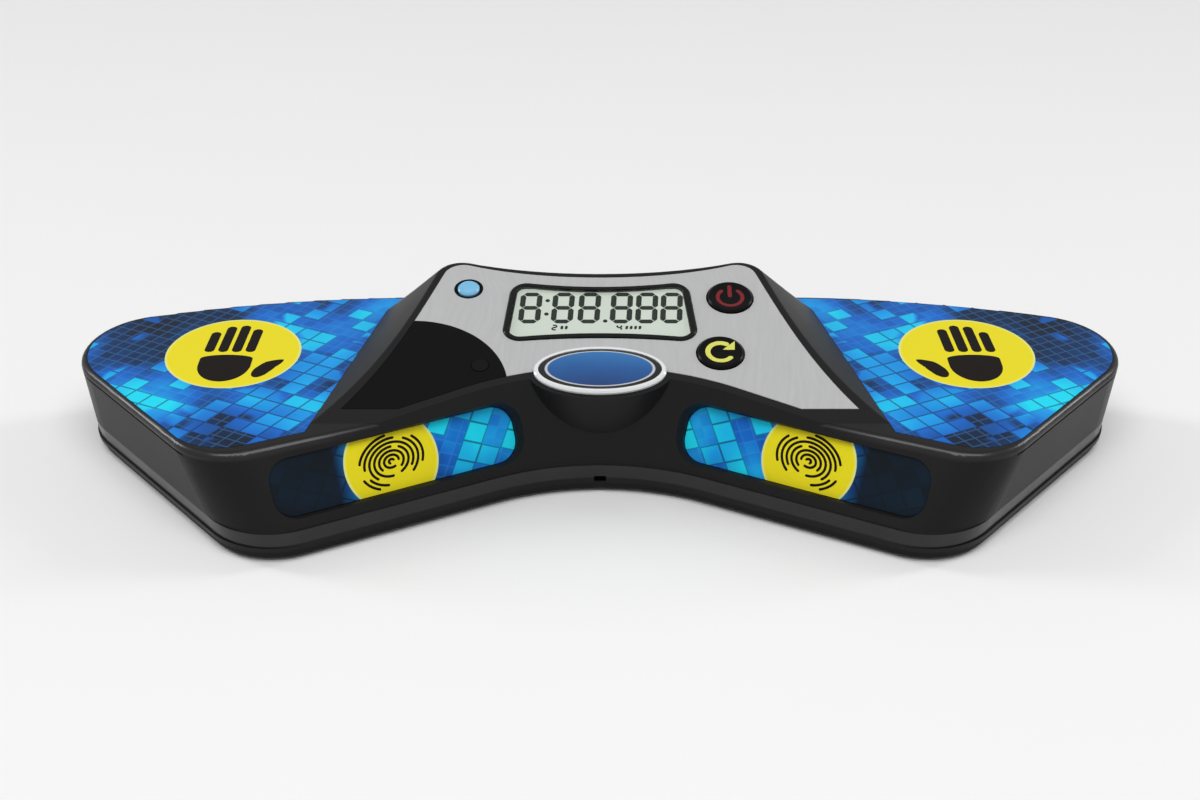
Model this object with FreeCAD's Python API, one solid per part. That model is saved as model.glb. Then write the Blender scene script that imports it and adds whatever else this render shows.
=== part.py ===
import FreeCAD, Part
import math
import os

# Two-handed touch timer for speed cubing: a boomerang-shaped desk unit with a hand pad on each
# wing, a touch slot in each front face and a tilted console with display and buttons between them.
# Millimetres.  X runs to the right, Y to the rear and Z up.  The origin is under the middle of the
# unit, on the surface that its feet stand on.

# ---- housing form -------------------------------------------------------------------------------
width = 250.0                # over the two wing tips
depth = 81.0                 # from the front corners to the rear edge
foot_proud = 1.0             # feet below the base
base_band = 2.0              # visible edge of the lower housing
base_inset = 0.9             # lower housing edge, inside the upper one
lip_height = 5.0             # upright lip above the seam
lip_ledge = 1.0              # lip in front of the sloping face
wing_height = 24.0           # wing top above the desk
side_draft = 5.0             # degrees, sides and rear lean in towards the base
face_lean = 28.0             # degrees, each front face leans back at the middle of its slot
front_meet_y = -7.06         # where the two front lines of the lip would meet
front_twist = 3.0            # degrees less sweep at the wing top than at the lip
side_angle = 48.6            # degrees, outer side against X
rear_flat_half = 45.0        # straight middle of the rear edge
rear_r = 230.0               # long rear curve of each wing
tip_r = 18.0                 # wing tip
corner_r = 18.0              # front corner at the lip
corner_r_top = 16.0          # front corner at the wing top
apex_r = 55.0                # hollow between the two front faces, at the lip
apex_r_top = 80.0            # the same at the wing top
wall = 2.2                   # upper housing wall
edge_r = 1.5                 # rounded top edge of the wings
bead = 0.4                   # bottom bead, proud of the sides
bead_height = 1.2
rim_groove_depth = 0.35      # shadow line under the rim
rim_groove_height = 0.5
rim_height = 1.7             # rim above that line
past = 1.0                   # cutters and joined pieces run this far past a face

# ---- console ------------------------------------------------------------------------------------
console_tilt = 13.0          # degrees, console top towards the user
console_height = 28.6        # console top above the desk, over the origin
console_ref_rise = 14.0      # height of the upper guide outline above the wings
console_foot_rear_half = 51.8
console_foot_mid_half = 58.7
console_foot_front_half = 66.8
console_foot_corner_r = 12.0
console_foot_rear_gap = 1.2  # console foot in front of the rear edge
console_foot_mid_y = 9.4
console_foot_bow = 0.5       # hollow of the rear foot line
console_front_y = -25.6
console_top_rear_half = 36.9
console_top_mid_half = 36.8
console_top_front_half = 28.1
console_top_rear_y = 36.4
console_top_bow_y = 28.6     # middle of the hollow rear edge
console_top_mid_y = 12.0
console_top_corner_r = 5.0
console_edge_r = 0.7
console_wall = 2.6

# ---- printed pads and faceplate -----------------------------------------------------------------
pad_thickness = 0.5
pad_rim = 1.7                # rim round a hand pad
pad_front_rim = 3.4          # bare strip at the front crease
pad_gap = 0.15               # pad to its recess, all round
plate_thickness = 0.6
plate_border = 1.8           # bare console edge round the faceplate
plate_tip_border = 2.2       # more of it at the two front tips
plate_crease_border = 1.8
plate_front_y = -15.3        # straight front ends of the faceplate
slot_start = 19.4            # finger slot, along the face from the middle
slot_end = 78.2
slot_low = 2.4               # finger slot, up the face from the lip
slot_high = 15.8
slot_r = 5.2
slot_recess = 2.0            # print below the face
slot_bevel = 1.0             # depth of the bevelled mouth
slot_flare = 0.5             # its width for each millimetre of height
slot_mouth = 4.0             # bevel carried on past the face, which twists
slot_wall = 2.0              # tray behind the slot

# ---- display ------------------------------------------------------------------------------------
lcd_top_half = 21.4
lcd_low_half = 23.5
lcd_top = 27.9
lcd_low = 6.3
lcd_bow_top = 2.0
lcd_bow_low = 1.6
lcd_corner_r = 4.0
bezel_width = 1.2
bezel_proud = 0.4
bezel_edge = 0.2
window_proud = 0.1
window_seat = 0.7
lcd_glass_half = 21.0
lcd_glass_low = 7.6
lcd_glass_high = 26.6
lcd_glass_thickness = 2.8
glass_cover = 0.5            # console wall left over the edge of the display glass
holder_wall = 1.2
holder_floor = 0.8
strip_width = 2.2
strip_half = 18.0

# ---- badge --------------------------------------------------------------------------------------
badge_v = -3.5
badge_half_length = 15.5
badge_half_width = 7.8
badge_rim_width = 1.1
badge_rim_proud = 0.9
badge_face_proud = 0.7
badge_edge = 0.4
boss_margin = 1.4            # boss outside the badge edge
boss_depth = 16.0
boss_draft = 2.0             # degrees

# ---- buttons, each (x, v) on the console top ----------------------------------------------------
power_place = (31.5, 22.1)
reset_place = (28.3, 2.6)
mode_place = (-32.0, 25.4)
led_place = (-28.0, -1.5)
button_r = 5.5
mode_r = 2.65
button_gap = 0.3             # round each button, and above its flange
button_proud = 0.6
button_dish = 0.25
button_edge = 0.4
button_travel = 0.5
flange_extra = 0.8
flange_thickness = 0.9
stem_r = 1.6
stem_length = 0.9
switch_side = 6.0
switch_plunger_r = 1.7
switch_plunger_length = 2.4
switch_plunger_out = 1.0     # plunger above its switch
switch_bore_gap = 0.1
switch_corner_r = 0.4
led_lens_r = 2.0
led_r = 1.5
led_flange_r = 1.9
led_flange_height = 0.8

# ---- electronics --------------------------------------------------------------------------------
board_thickness = 1.6
board_drop = 9.0             # board top below the console top
board_half_width = 43.5
board_low = -4.5
board_high = 31.0
board_corner_r = 3.0
board_post_r = 2.6
board_post_x = 40.5
board_post_low = -1.0
board_post_high = 27.5
board_screw_r = 1.0
board_screw_length = 5.5
board_head_r = 2.0
board_head_height = 1.2
chip_side = 12.0
chip_height = 1.4
chip_place = (-8.0, 12.0)
crystal_length = 8.0
crystal_r = 1.5
crystal_corner_r = 1.35
crystal_place = (10.0, 14.0)
touch_plate_r = 12.0
touch_plate_thickness = 0.4
touch_tab_length = 3.0
touch_tab_width = 4.0
hand_disc_inset = 36.8       # middle of the hand pad's disc, in from the wing tip
hand_disc_y = 11.5
finger_plate_length = 40.0
finger_plate_height = 9.0
finger_plate_thickness = 0.4
finger_plate_corner_r = 1.5
sounder_r = 6.0
sounder_height = 3.2
sounder_hole_r = 1.0
sounder_edge = 0.4
sounder_place = (-16.0, -3.0)
sounder_wall = 1.0
sounder_gap = 0.2
notch_width = 2.8
notch_height = 2.0

# ---- fasteners and feet -------------------------------------------------------------------------
screw_front_inset = 18.5
screw_rear_inset = 12.5
screw_places = ((25.0, -2.0), (51.0, screw_front_inset - depth / 2.0),    # in from the wing tip, and Y
                (63.0, depth / 2.0 - screw_rear_inset))
screw_r = 1.25
screw_hole_gap = 0.25
screw_pilot_gap = 0.05
screw_length = 12.0
head_r = 2.6
head_height = 1.6
head_gap = 0.3
head_seat = 3.0              # screw head seat above the base bottom
post_r = 3.4
post_split = 6.0             # lower post top above the seam
foot_front_inset = 7.5
foot_rear_inset = 10.5
foot_places = ((13.0, 15.0), (52.0, foot_front_inset - depth / 2.0),      # in from the wing tip, and Y
               (79.0, depth / 2.0 - foot_rear_inset))
foot_r = 5.0
foot_seat = 0.8
foot_gap = 0.2
foot_edge = 0.4
rib_height = 3.5             # locating rib inside the upper housing
rib_width = 1.4
rib_gap = 0.2
snap_place = (52.0, 11.0)
snap_r = 4.1
snap_depth = 3.5
snap_wall = 2.2
snap_roof = 1.5

# ---- data jack ----------------------------------------------------------------------------------
jack_x = 37.0
jack_z = 12.0
jack_bore_r = 1.8
jack_depth = 14.0
jack_back = 1.5
jack_side = 8.0
jack_nose_r = 3.0
jack_nose_gap = 0.15
jack_nose_proud = 0.2
jack_wall_gap = 0.2
jack_board_thickness = 1.2
jack_board_margin = 1.5
jack_post_r = 2.0
jack_post_inset = 3.5

# ---- batteries and their bay --------------------------------------------------------------------
cell_r = 5.25
cell_length = 44.5
cell_button_r = 1.9
cell_button = 1.0
cell_groove_depth = 0.25
cell_groove_width = 0.8
cell_groove_place = 2.2      # groove behind the shoulder
cell_edge = 0.6
cell_pitch = 11.3
cell_gap = 0.4
contact_thickness = 0.4
contact_half = 3.6
contact_corner_r = 1.2
spring_room = 4.3
spring_wire_r = 0.35
spring_r = 2.6
spring_turns = 3
spring_wire_sides = 6
bay_rear_inset = 21.7        # middle of the two cells, in front of the rear edge
bay_wall = 2.0
bay_roof = 1.2
bay_ledge = 1.0
cover_thickness = 1.8
cover_gap = 0.3
hinge_r = 1.3
hinge_gap = 0.35
hinge_pin_r = 0.8
hinge_pin_gap = 0.08
hinge_pin_length = 2.0
hinge_lug_height = 3.4
hinge_lug_wall = 1.0
hinge_pin_end_gap = 0.3
hole_end_gap = 0.5           # blind screw holes beyond the screw's end
grip_count = 4
grip_pitch = 2.4
grip_depth = 0.5
grip_width = 1.0
grip_half = 8.0
tab_half = 5.0
tab_length = 7.0
tab_corner_r = 1.5
tab_screw_inset = 3.1        # cover screw behind the tab's front edge
cover_screw_r = 0.9
cover_screw_gap = 0.6
cover_screw_length = 4.6
cover_head_r = 1.9
cover_head_height = 1.0
cover_head_gap = 0.2
cover_slot_width = 0.5
cover_slot_depth = 0.4
cover_boss_r = 3.0
cover_boss_roof = 1.5

# ---- heights and lines worked out from the sizes above --------------------------------------------
big = 2 * width              # past every side of the unit
seam_z = foot_proud + base_band
lip_z = seam_z + lip_height
rear_y = depth / 2.0
board_w = -board_drop - board_thickness
bay_y = rear_y - bay_rear_inset
hand_disc_x = width / 2.0 - hand_disc_inset
slot_middle = (slot_start + slot_end) / 2.0
tan_draft = math.tan(math.radians(side_draft))
lean = math.radians(face_lean)
side_along = FreeCAD.Vector(math.cos(math.radians(side_angle)), math.sin(math.radians(side_angle)), 0)
side_out = FreeCAD.Vector(side_along.y, -side_along.x, 0)


def vec(x, y, z=0.0):
    return FreeCAD.Vector(x, y, z)


def mirrored(shape):
    """The same piece on the other side of the YZ plane."""
    return shape.mirror(vec(0, 0), vec(1, 0))


def cylinder(r, low, high, place=(0.0, 0.0)):
    """Upright round bar from one height to another."""
    return Part.makeCylinder(r, high - low, vec(place[0], place[1], low))


def box(x0, x1, y0, y1, z0, z1):
    return Part.makeBox(x1 - x0, y1 - y0, z1 - z0, vec(x0, y0, z0))


def loft(*wires):
    """Closed solid with straight rulings between outlines of the same make-up."""
    return Part.makeLoft(list(wires), True, True)


def round_upright(solid, r):
    """Rounds every upright edge of a prism."""
    edges = [e for e in solid.Edges if abs(e.tangentAt(e.FirstParameter).z) > 0.999]
    return solid.makeFillet(r, edges)


# ---- places ---------------------------------------------------------------------------------------
def on_console(shape):
    """Moves a piece drawn on the console top (x, v, height) to its place."""
    move = FreeCAD.Placement(vec(0, 0, console_height), FreeCAD.Rotation(vec(1, 0), console_tilt))
    return shape.transformed(move.toMatrix())


def on_face(shape):
    """Moves a piece drawn on the right front face (along, up, out) to its place."""
    meet_y, sweep = lip_front(lip_ledge)
    along = vec(math.cos(sweep), -math.sin(sweep))
    inward = vec(math.sin(sweep), math.cos(sweep))
    up = inward * math.sin(lean) + vec(0, 0, 1) * math.cos(lean)
    out = along.cross(up)
    foot = vec(0, meet_y, lip_z)
    move = FreeCAD.Placement(foot, FreeCAD.Rotation(along, up, out, "ZXY"))
    return shape.transformed(move.toMatrix())


# ---- boomerang outline ----------------------------------------------------------------------------
def rear_centre():
    """Centre of the long rear curve of the right wing."""
    return vec(rear_flat_half, rear_y - rear_r)


def tip_centre():
    """Centre of the right tip: touches the overall width and the rear curve."""
    x = width / 2.0 - tip_r
    across = x - rear_flat_half
    reach = rear_r - tip_r
    return vec(x, rear_centre().y + math.sqrt(reach ** 2 - across ** 2))


def side_point():
    """Point where the straight side leaves the tip."""
    return tip_centre() + side_out * tip_r


def side_inset(z):
    """How far sides and rear stand inside the wing-top outline at a height."""
    return (wing_height - z) * tan_draft


def face_share(z):
    """Height as a share of the way from the lip to the wing top."""
    return (z - lip_z) / (wing_height - lip_z)


def corner_radius(z):
    """Front corner radius, blended from the lip to the wing top."""
    return corner_r + (corner_r_top - corner_r) * face_share(z)


def hollow_radius(z):
    """Radius of the hollow between the front faces, blended in the same way."""
    return apex_r + (apex_r_top - apex_r) * face_share(z)


def seam_side_inset():
    return side_inset(seam_z) - bead


def lip_sweep():
    """Sweep of the lip's front lines, at which the front corners just reach the overall depth."""
    y = -depth / 2.0 + corner_r
    start = side_point()
    x = start.x - (seam_side_inset() + corner_r + (y - start.y) * side_out.y) / side_out.x
    back = front_meet_y - y
    return math.asin(corner_r / math.hypot(x, back)) + math.atan2(back, x)


def lip_front(inset=0.0):
    """Front lines of the lip: the Y where they meet in the middle, and their sweep."""
    return front_meet_y + inset / math.cos(lip_sweep()), lip_sweep()


def face_front(z, inset=0.0):
    """The same of the front faces at a height.  A face leans as named at its slot's middle and turns
    more upright towards the middle of the unit, because its upper line has less sweep."""
    foot, low = lip_front(lip_ledge)
    turn = math.tan(low) - math.tan(low - math.radians(front_twist))
    set_back = (wing_height - lip_z) * math.tan(lean) / math.cos(low)
    meet_y = foot + (set_back - turn * slot_middle * math.cos(low)) * face_share(z)
    sweep = math.atan(math.tan(low) - turn * face_share(z))
    return meet_y + inset / math.cos(sweep), sweep


def corner_centre(side_in, front, r):
    """Centre of the front corner: r from the side line and r from the front line."""
    meet_y, sweep = front
    front_out = vec(-math.sin(sweep), -math.cos(sweep))
    start = side_point()
    from_side = start.dot(side_out) - side_in - r
    from_front = meet_y * front_out.y - r
    det = side_out.x * front_out.y - side_out.y * front_out.x
    x = (from_side * front_out.y - side_out.y * from_front) / det
    y = (side_out.x * from_front - from_side * front_out.x) / det
    return vec(x, y)


def arc_on(centre, r, start, end):
    """Short arc about a centre between two directions."""
    middle = (start + end).normalize()
    return Part.Arc(centre + start * r, centre + middle * r, centre + end * r).toShape()


def outline(z, side_in, front, r, hollow_r):
    """Boomerang at height z: rear line, rear curves, tips, sides, front corners and hollow apex."""
    meet_y, sweep = front
    front_out = vec(-math.sin(sweep), -math.cos(sweep))
    lift = vec(0, 0, z)
    rear = rear_centre() + lift
    tip = tip_centre() + lift
    corner = corner_centre(side_in, front, r) + lift
    hollow = vec(0, meet_y - hollow_r / math.cos(sweep), z)
    to_tip = (tip - rear).normalize()
    top = vec(0, 1)
    rear_arc = arc_on(rear, rear_r - side_in, top, to_tip)
    tip_arc = arc_on(tip, tip_r - side_in, to_tip, side_out)
    corner_arc = arc_on(corner, r, side_out, front_out)
    side = Part.makeLine(tip + side_out * (tip_r - side_in), corner + side_out * r)
    leave = hollow - front_out * hollow_r
    face = Part.makeLine(corner + front_out * r, leave)
    apex = Part.Arc(leave, hollow + top * hollow_r, vec(-leave.x, leave.y, z)).toShape()
    start = rear + top * (rear_r - side_in)
    rear_line = Part.makeLine(vec(-start.x, start.y, z), start)
    right = [rear_arc, tip_arc, side, corner_arc, face]
    left = [mirrored(edge) for edge in right]
    return Part.Wire(Part.__sortEdges__([rear_line] + right + [apex] + left))


def lip_outline(z, side_in, inset=0.0):
    return outline(z, side_in + inset, lip_front(inset), corner_r - inset, apex_r + inset)


def wing_outline(z, inset=0.0):
    front = face_front(z, inset / math.cos(lean))
    return outline(z, side_inset(z) + inset, front, corner_radius(z) - inset, hollow_radius(z) + inset)


def wall_form(low, high, inset=0.0):
    """Everything between the leaning walls, from one height to another, cut from one tall form."""
    tall = loft(wing_outline(lip_z, inset), wing_outline(console_ref_z(), inset))
    return tall.common(box(-big, big, -big, big, low, high))


def lip_form(low, high, inset=0.0, proud=0.0):
    """Upright lip in front, while the sides keep their draft and may stand proud of it."""
    return loft(lip_outline(low, side_inset(low) - proud, inset),
                lip_outline(high, side_inset(high) - proud, inset))


def over_console(point):
    """Height of a point over the console top."""
    tilt = math.radians(console_tilt)
    return (point.z - console_height) * math.cos(tilt) - point.y * math.sin(tilt)


def below_console(drop=0.0):
    """Half space under the console top."""
    return on_console(box(-big, big, -big, big, -big, -drop))


def console_level(z, halves, ys, inset, tip_inset):
    """Console outline at height z from its half widths and its rear, bow and middle Y."""
    a = vec(halves[0] - inset, ys[0] - inset, z)
    b = vec(halves[2] - inset - tip_inset, console_front_y, z)
    side = Part.Arc(a, vec(halves[1] - inset, ys[2], z), b).toShape()
    rear = Part.Arc(vec(-a.x, a.y, z), vec(0, ys[1] - inset, z), a).toShape()
    return Part.Wire([rear, side, Part.makeLine(b, vec(-b.x, b.y, z)), mirrored(side)])


def console_foot(inset=0.0, tip_inset=0.0):
    rear = rear_y - console_foot_rear_gap
    halves = (console_foot_rear_half, console_foot_mid_half, console_foot_front_half)
    ys = (rear, rear - console_foot_bow, console_foot_mid_y)
    return console_level(wing_height, halves, ys, inset, tip_inset)


def console_head(inset=0.0, tip_inset=0.0):
    halves = (console_top_rear_half, console_top_mid_half, console_top_front_half)
    ys = (console_top_rear_y, console_top_bow_y, console_top_mid_y)
    return console_level(console_ref_z(), halves, ys, inset, tip_inset)


def console_ref_z():
    return wing_height + console_ref_rise


def console_form(inset=0.0, tip_inset=0.0):
    """Body of the console: slopes that widen downwards to rounder corners, open-ended upwards."""
    body = loft(console_foot(inset, tip_inset), console_head(inset, tip_inset))
    for side in (1, -1):
        corner = [e for e in body.Edges if side * e.CenterOfMass.x > 0 and e.BoundBox.ZLength > past
                  and e.CenterOfMass.y > console_foot_mid_y][0]
        radii = [console_foot_corner_r - inset, console_top_corner_r - inset]
        if corner.Vertexes[0].Z > corner.Vertexes[1].Z:
            radii.reverse()
        body = body.makeFillet(radii[0], radii[1], [corner])
    return body


def front_limit(inset=0.0):
    """Everything behind the two leaning front faces, up past the console."""
    return wall_form(lip_z, console_ref_z(), inset)


def console_nose_y():
    """Y where the tilted top runs down into the wing top."""
    return -(console_height - wing_height) / math.tan(math.radians(console_tilt))


def console_body():
    """Console with its tilted top and rounded top edge.  In front it is rooted below the rounded
    edge of the wings, so that it shares their front faces."""
    body = console_form().common(below_console())
    edges = [e for e in body.Edges if abs(over_console(e.CenterOfMass)) < 0.01
             and e.BoundBox.ZMax > wing_height + past]
    root = Part.Face(console_foot()).extrude(vec(0, 0, -wall))
    root = root.common(box(-big, big, console_nose_y(), 0, 0, big))
    return body.makeFillet(console_edge_r, edges).fuse(root).common(front_limit())


# ---- finger slots ---------------------------------------------------------------------------------
def slot_prism(grow, low, high):
    """Rounded slot on the right front face, grown all round, between two heights off the face."""
    body = box(slot_start - grow, slot_end + grow, slot_low - grow, slot_high + grow, low, high)
    return round_upright(body, slot_r + grow)


def slot_tray():
    """Wall behind and around a finger slot, inside the housing."""
    depth_in = slot_recess + pad_thickness + slot_wall
    return on_face(slot_prism(slot_wall, -depth_in, 0))


def slot_cut():
    """Recess of a finger slot with its bevelled mouth."""
    recess = slot_prism(0, -slot_recess - pad_thickness, slot_mouth)
    mouth = slot_prism((slot_bevel + slot_mouth) * slot_flare, slot_mouth, slot_mouth + past)
    throat = slot_prism(0, -slot_bevel - past, -slot_bevel)
    top = min(mouth.Faces, key=lambda f: f.CenterOfMass.z).OuterWire
    low = max(throat.Faces, key=lambda f: f.CenterOfMass.z).OuterWire
    return on_face(recess.fuse(loft(top, low)))


# ---- display outlines -----------------------------------------------------------------------------
def display_prism(inset, low, high):
    """Bowed display outline with slanted ends and round corners, inset all round."""
    slant = (lcd_low_half - lcd_top_half) / (lcd_top - lcd_low)
    top = lcd_top - inset
    bottom = lcd_low + inset
    top_half = lcd_top_half - inset + slant * inset
    low_half = lcd_low_half - inset - slant * inset
    corners = [vec(-top_half, top, low), vec(top_half, top, low),
               vec(low_half, bottom, low), vec(-low_half, bottom, low)]
    upper = Part.Arc(corners[0], vec(0, top - lcd_bow_top, low), corners[1]).toShape()
    lower = Part.Arc(corners[2], vec(0, bottom + lcd_bow_low, low), corners[3]).toShape()
    ends = [Part.makeLine(corners[1], corners[2]), Part.makeLine(corners[3], corners[0])]
    face = Part.Face(Part.Wire([upper, ends[0], lower, ends[1]]))
    return round_upright(face.extrude(vec(0, 0, high - low)), lcd_corner_r - inset)


def oval_wire(half_length, half_width, v, level):
    ellipse = Part.Ellipse(vec(0, v, level), half_length, half_width)
    return Part.Wire(ellipse.toShape())


def oval_prism(half_length, half_width, low, high):
    return Part.Face(oval_wire(half_length, half_width, badge_v, low)).extrude(vec(0, 0, high - low))


def badge_boss():
    """Oval boss that carries the badge, a little wider than it, and runs down into the front faces."""
    half_length = badge_half_length + boss_margin
    half_width = badge_half_width + boss_margin
    shrink = boss_depth * math.tan(math.radians(boss_draft))
    top = oval_wire(half_length, half_width, badge_v, 0)
    low = oval_wire(half_length - shrink, half_width - shrink, badge_v, -boss_depth)
    return on_console(loft(top, low))


# ---- pads and faceplate ---------------------------------------------------------------------------
def hand_pad_prism(grow, low, high):
    """Right hand pad: the wing top inside its rim, up to the foot of the console."""
    z = wing_height
    inset = pad_rim - grow
    front = face_front(z, pad_front_rim - grow)
    face = Part.Face(outline(z, inset, front, corner_radius(z) - inset, hollow_radius(z)))
    face.translate(vec(0, 0, low - z))
    plate = face.extrude(vec(0, 0, high - low))
    foot = [f for f in console_form(grow).Faces if f.BoundBox.ZMax < z + 0.01][0]
    foot.translate(vec(0, 0, low - z))
    inner = box(-width, console_foot_rear_half - console_foot_corner_r, -depth, depth, low, high)
    return plate.cut([foot.extrude(vec(0, 0, high - low)), front_of_console(grow, low, high), inner])


def front_of_console(grow, low, high):
    """Room in front of the console, its side lines carried on to the front."""
    b = vec(console_foot_front_half - grow, console_front_y, low)
    middle = vec(console_foot_mid_half - grow, console_foot_mid_y, low)
    tip = b + (b - middle)
    corners = [b, tip, vec(-width, tip.y, low), vec(-width, b.y, low), b]
    return Part.Face(Part.makePolygon(corners)).extrude(vec(0, 0, high - low))


def faceplate_form(grow, drop):
    """Faceplate outline inside the console edge, cut off straight at its front ends."""
    plate = console_form(plate_border - grow, plate_tip_border).common(below_console())
    plate = plate.cut(below_console(drop))
    limit = front_limit(plate_crease_border - grow)
    behind = box(-big, big, plate_front_y - grow, big, 0, big)
    return plate.common(limit).common(behind)


def console_faceplate():
    plate = faceplate_form(0, plate_thickness)
    holes = [display_prism(-pad_gap, -big, big), oval_prism(badge_half_length + pad_gap,
                                                            badge_half_width + pad_gap, -big, big)]
    for place, r in button_holes():
        holes.append(cylinder(r, -big, big, place))
    holes.append(cylinder(led_lens_r + pad_gap, -big, big, led_place))
    return plate.cut([on_console(hole) for hole in holes])


def hand_pad():
    return hand_pad_prism(0, wing_height - pad_thickness, wing_height)


def finger_pad():
    return on_face(slot_prism(-pad_gap, -slot_recess - pad_thickness, -slot_recess))


# ---- buttons --------------------------------------------------------------------------------------
def buttons():
    """Name, place and cap radius of each push button."""
    return [("power", power_place, button_r), ("reset", reset_place, button_r),
            ("mode", mode_place, mode_r)]


def button_holes():
    return [(place, r + button_gap) for name, place, r in buttons()]


def flange_top():
    return -console_wall - button_gap


def flange_low():
    return flange_top() - flange_thickness


def stem_low():
    return flange_low() - stem_length


def button(place, r):
    """Cap with a dished top, a flange behind the console wall and a stem on its switch."""
    cap = cylinder(r, flange_low(), button_proud).fuse(cylinder(r + flange_extra, flange_low(), flange_top()))
    cap = cap.fuse(cylinder(stem_r, stem_low(), flange_low())).removeSplitter()
    reach = r - 2 * button_edge
    dish_r = (reach ** 2 + button_dish ** 2) / (2 * button_dish)
    ball = Part.makeSphere(dish_r, vec(0, 0, button_proud - button_dish + dish_r))
    rim = [e for e in cap.Edges if abs(e.CenterOfMass.z - button_proud) < 0.01 and e.Length > r]
    cap = cap.makeChamfer(button_edge, rim).cut(ball)
    cap.translate(vec(place[0], place[1], 0))
    return on_console(cap)


def switch_plunger(place):
    high = stem_low()
    return on_console(cylinder(switch_plunger_r, high - switch_plunger_length, high, place))


def switch_housing(place):
    """Square tact switch on the board with the bore its plunger slides in."""
    x, y = place
    half = switch_side / 2.0
    top = stem_low() - switch_plunger_out
    body = round_upright(box(x - half, x + half, y - half, y + half, -board_drop, top), switch_corner_r)
    low = stem_low() - switch_plunger_length - button_travel - switch_bore_gap
    return on_console(body.cut(cylinder(switch_plunger_r + switch_bore_gap, low, top + past, place)))


def led_lens():
    return on_console(cylinder(led_lens_r, -console_wall, window_proud, led_place))


def status_led():
    top = -console_wall - pad_gap
    base = cylinder(led_flange_r, -board_drop, -board_drop + led_flange_height, led_place)
    stalk = cylinder(led_r, -board_drop, top - led_r, led_place)
    dome = Part.makeSphere(led_r, vec(led_place[0], led_place[1], top - led_r))
    return on_console(base.fuse([stalk, dome]).removeSplitter())


# ---- display parts --------------------------------------------------------------------------------
def lcd_bezel():
    ring = display_prism(0, -plate_thickness, bezel_proud)
    top = [e for e in ring.Edges if abs(e.BoundBox.ZMin - bezel_proud) < 0.01]
    ring = ring.makeChamfer(bezel_edge, top)
    return on_console(ring.cut(display_prism(bezel_width, -big, big)))


def lcd_window():
    return on_console(display_prism(bezel_width + pad_gap, -plate_thickness, window_proud))


def glass_box(grow, low, high):
    half = lcd_glass_half + grow
    return box(-half, half, lcd_glass_low - grow, lcd_glass_high + grow, low, high)


def glass_top():
    return -plate_thickness - glass_cover


def glass_low():
    return glass_top() - lcd_glass_thickness


def lcd_panel():
    return on_console(glass_box(0, glass_low(), glass_top()))


def lcd_holder():
    """Frame round the display glass with a lip below it, open over the contacts."""
    low = glass_low() - holder_floor
    frame = glass_box(holder_wall, low, glass_top()).cut(glass_box(pad_gap, glass_low(), 0))
    return on_console(frame.cut(glass_box(-holder_wall, -big, 0)))


def lcd_connector():
    """Rubber contact strip between the display glass and the board."""
    low = lcd_glass_low + holder_wall + pad_gap
    return on_console(box(-strip_half, strip_half, low, low + strip_width, -board_drop, glass_low()))


# ---- badge ----------------------------------------------------------------------------------------
def badge_rim():
    outer = oval_prism(badge_half_length, badge_half_width, 0, badge_rim_proud)
    top = [e for e in outer.Edges if abs(e.BoundBox.ZMin - badge_rim_proud) < 0.01]
    outer = outer.makeChamfer(badge_edge, top)
    inner = oval_prism(badge_half_length - badge_rim_width, badge_half_width - badge_rim_width, -past, big)
    return on_console(outer.cut(inner))


def badge_face():
    inset = badge_rim_width + pad_gap
    face = oval_prism(badge_half_length - inset, badge_half_width - inset, 0, badge_face_proud)
    top = [e for e in face.Edges if abs(e.BoundBox.ZMin - badge_face_proud) < 0.01]
    return on_console(face.makeChamfer(badge_edge, top))


# ---- board ----------------------------------------------------------------------------------------
def board_posts():
    return [(x, v) for x in (-board_post_x, board_post_x) for v in (board_post_low, board_post_high)]


def main_board():
    board = round_upright(box(-board_half_width, board_half_width, board_low, board_high,
                              board_w, -board_drop), board_corner_r)
    holes = [cylinder(board_screw_r + screw_hole_gap, -big, big, place) for place in board_posts()]
    return on_console(board.cut(holes))


def board_screws():
    screws = []
    for place in board_posts():
        head = cylinder(board_head_r, board_w - board_head_height, board_w, place)
        shank = cylinder(board_screw_r, board_w, board_w + board_screw_length, place)
        screws.append(on_console(head.fuse(shank).removeSplitter()))
    return Part.Compound(screws)


def controller_chip():
    x, y = chip_place
    half = chip_side / 2.0
    chip = box(x - half, x + half, y - half, y + half, board_w - chip_height, board_w)
    bottom = [e for e in chip.Edges if abs(e.BoundBox.ZMax - board_w + chip_height) < 0.01]
    return on_console(chip.makeChamfer(chip_height / 4.0, bottom))


def clock_crystal():
    """Small oblong can lying on the underside of the board."""
    x, y = crystal_place
    reach = crystal_length / 2.0
    can = box(x - crystal_r, x + crystal_r, y - reach, y + reach, board_w - crystal_r * 2, board_w)
    return on_console(round_upright(can, crystal_corner_r))


# ---- touch sensing --------------------------------------------------------------------------------
def touch_plate():
    """Round foil plate under the wing top, with its solder tab."""
    top = wing_height - wall
    low = top - touch_plate_thickness
    disc = cylinder(touch_plate_r, low, top, (hand_disc_x, hand_disc_y))
    half = touch_tab_width / 2.0
    tab = box(hand_disc_x - touch_plate_r - touch_tab_length, hand_disc_x, hand_disc_y - half,
              hand_disc_y + half, low, top)
    return disc.fuse(tab).removeSplitter()


def finger_plate():
    """Foil strip on the back of the tray behind a finger slot."""
    rise = (slot_low + slot_high) / 2.0
    half = finger_plate_length / 2.0
    back = -slot_recess - pad_thickness - slot_wall
    strip = box(slot_middle - half, slot_middle + half, rise - finger_plate_height / 2.0,
                rise + finger_plate_height / 2.0, back - finger_plate_thickness, back)
    return on_face(round_upright(strip, finger_plate_corner_r))


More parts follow.
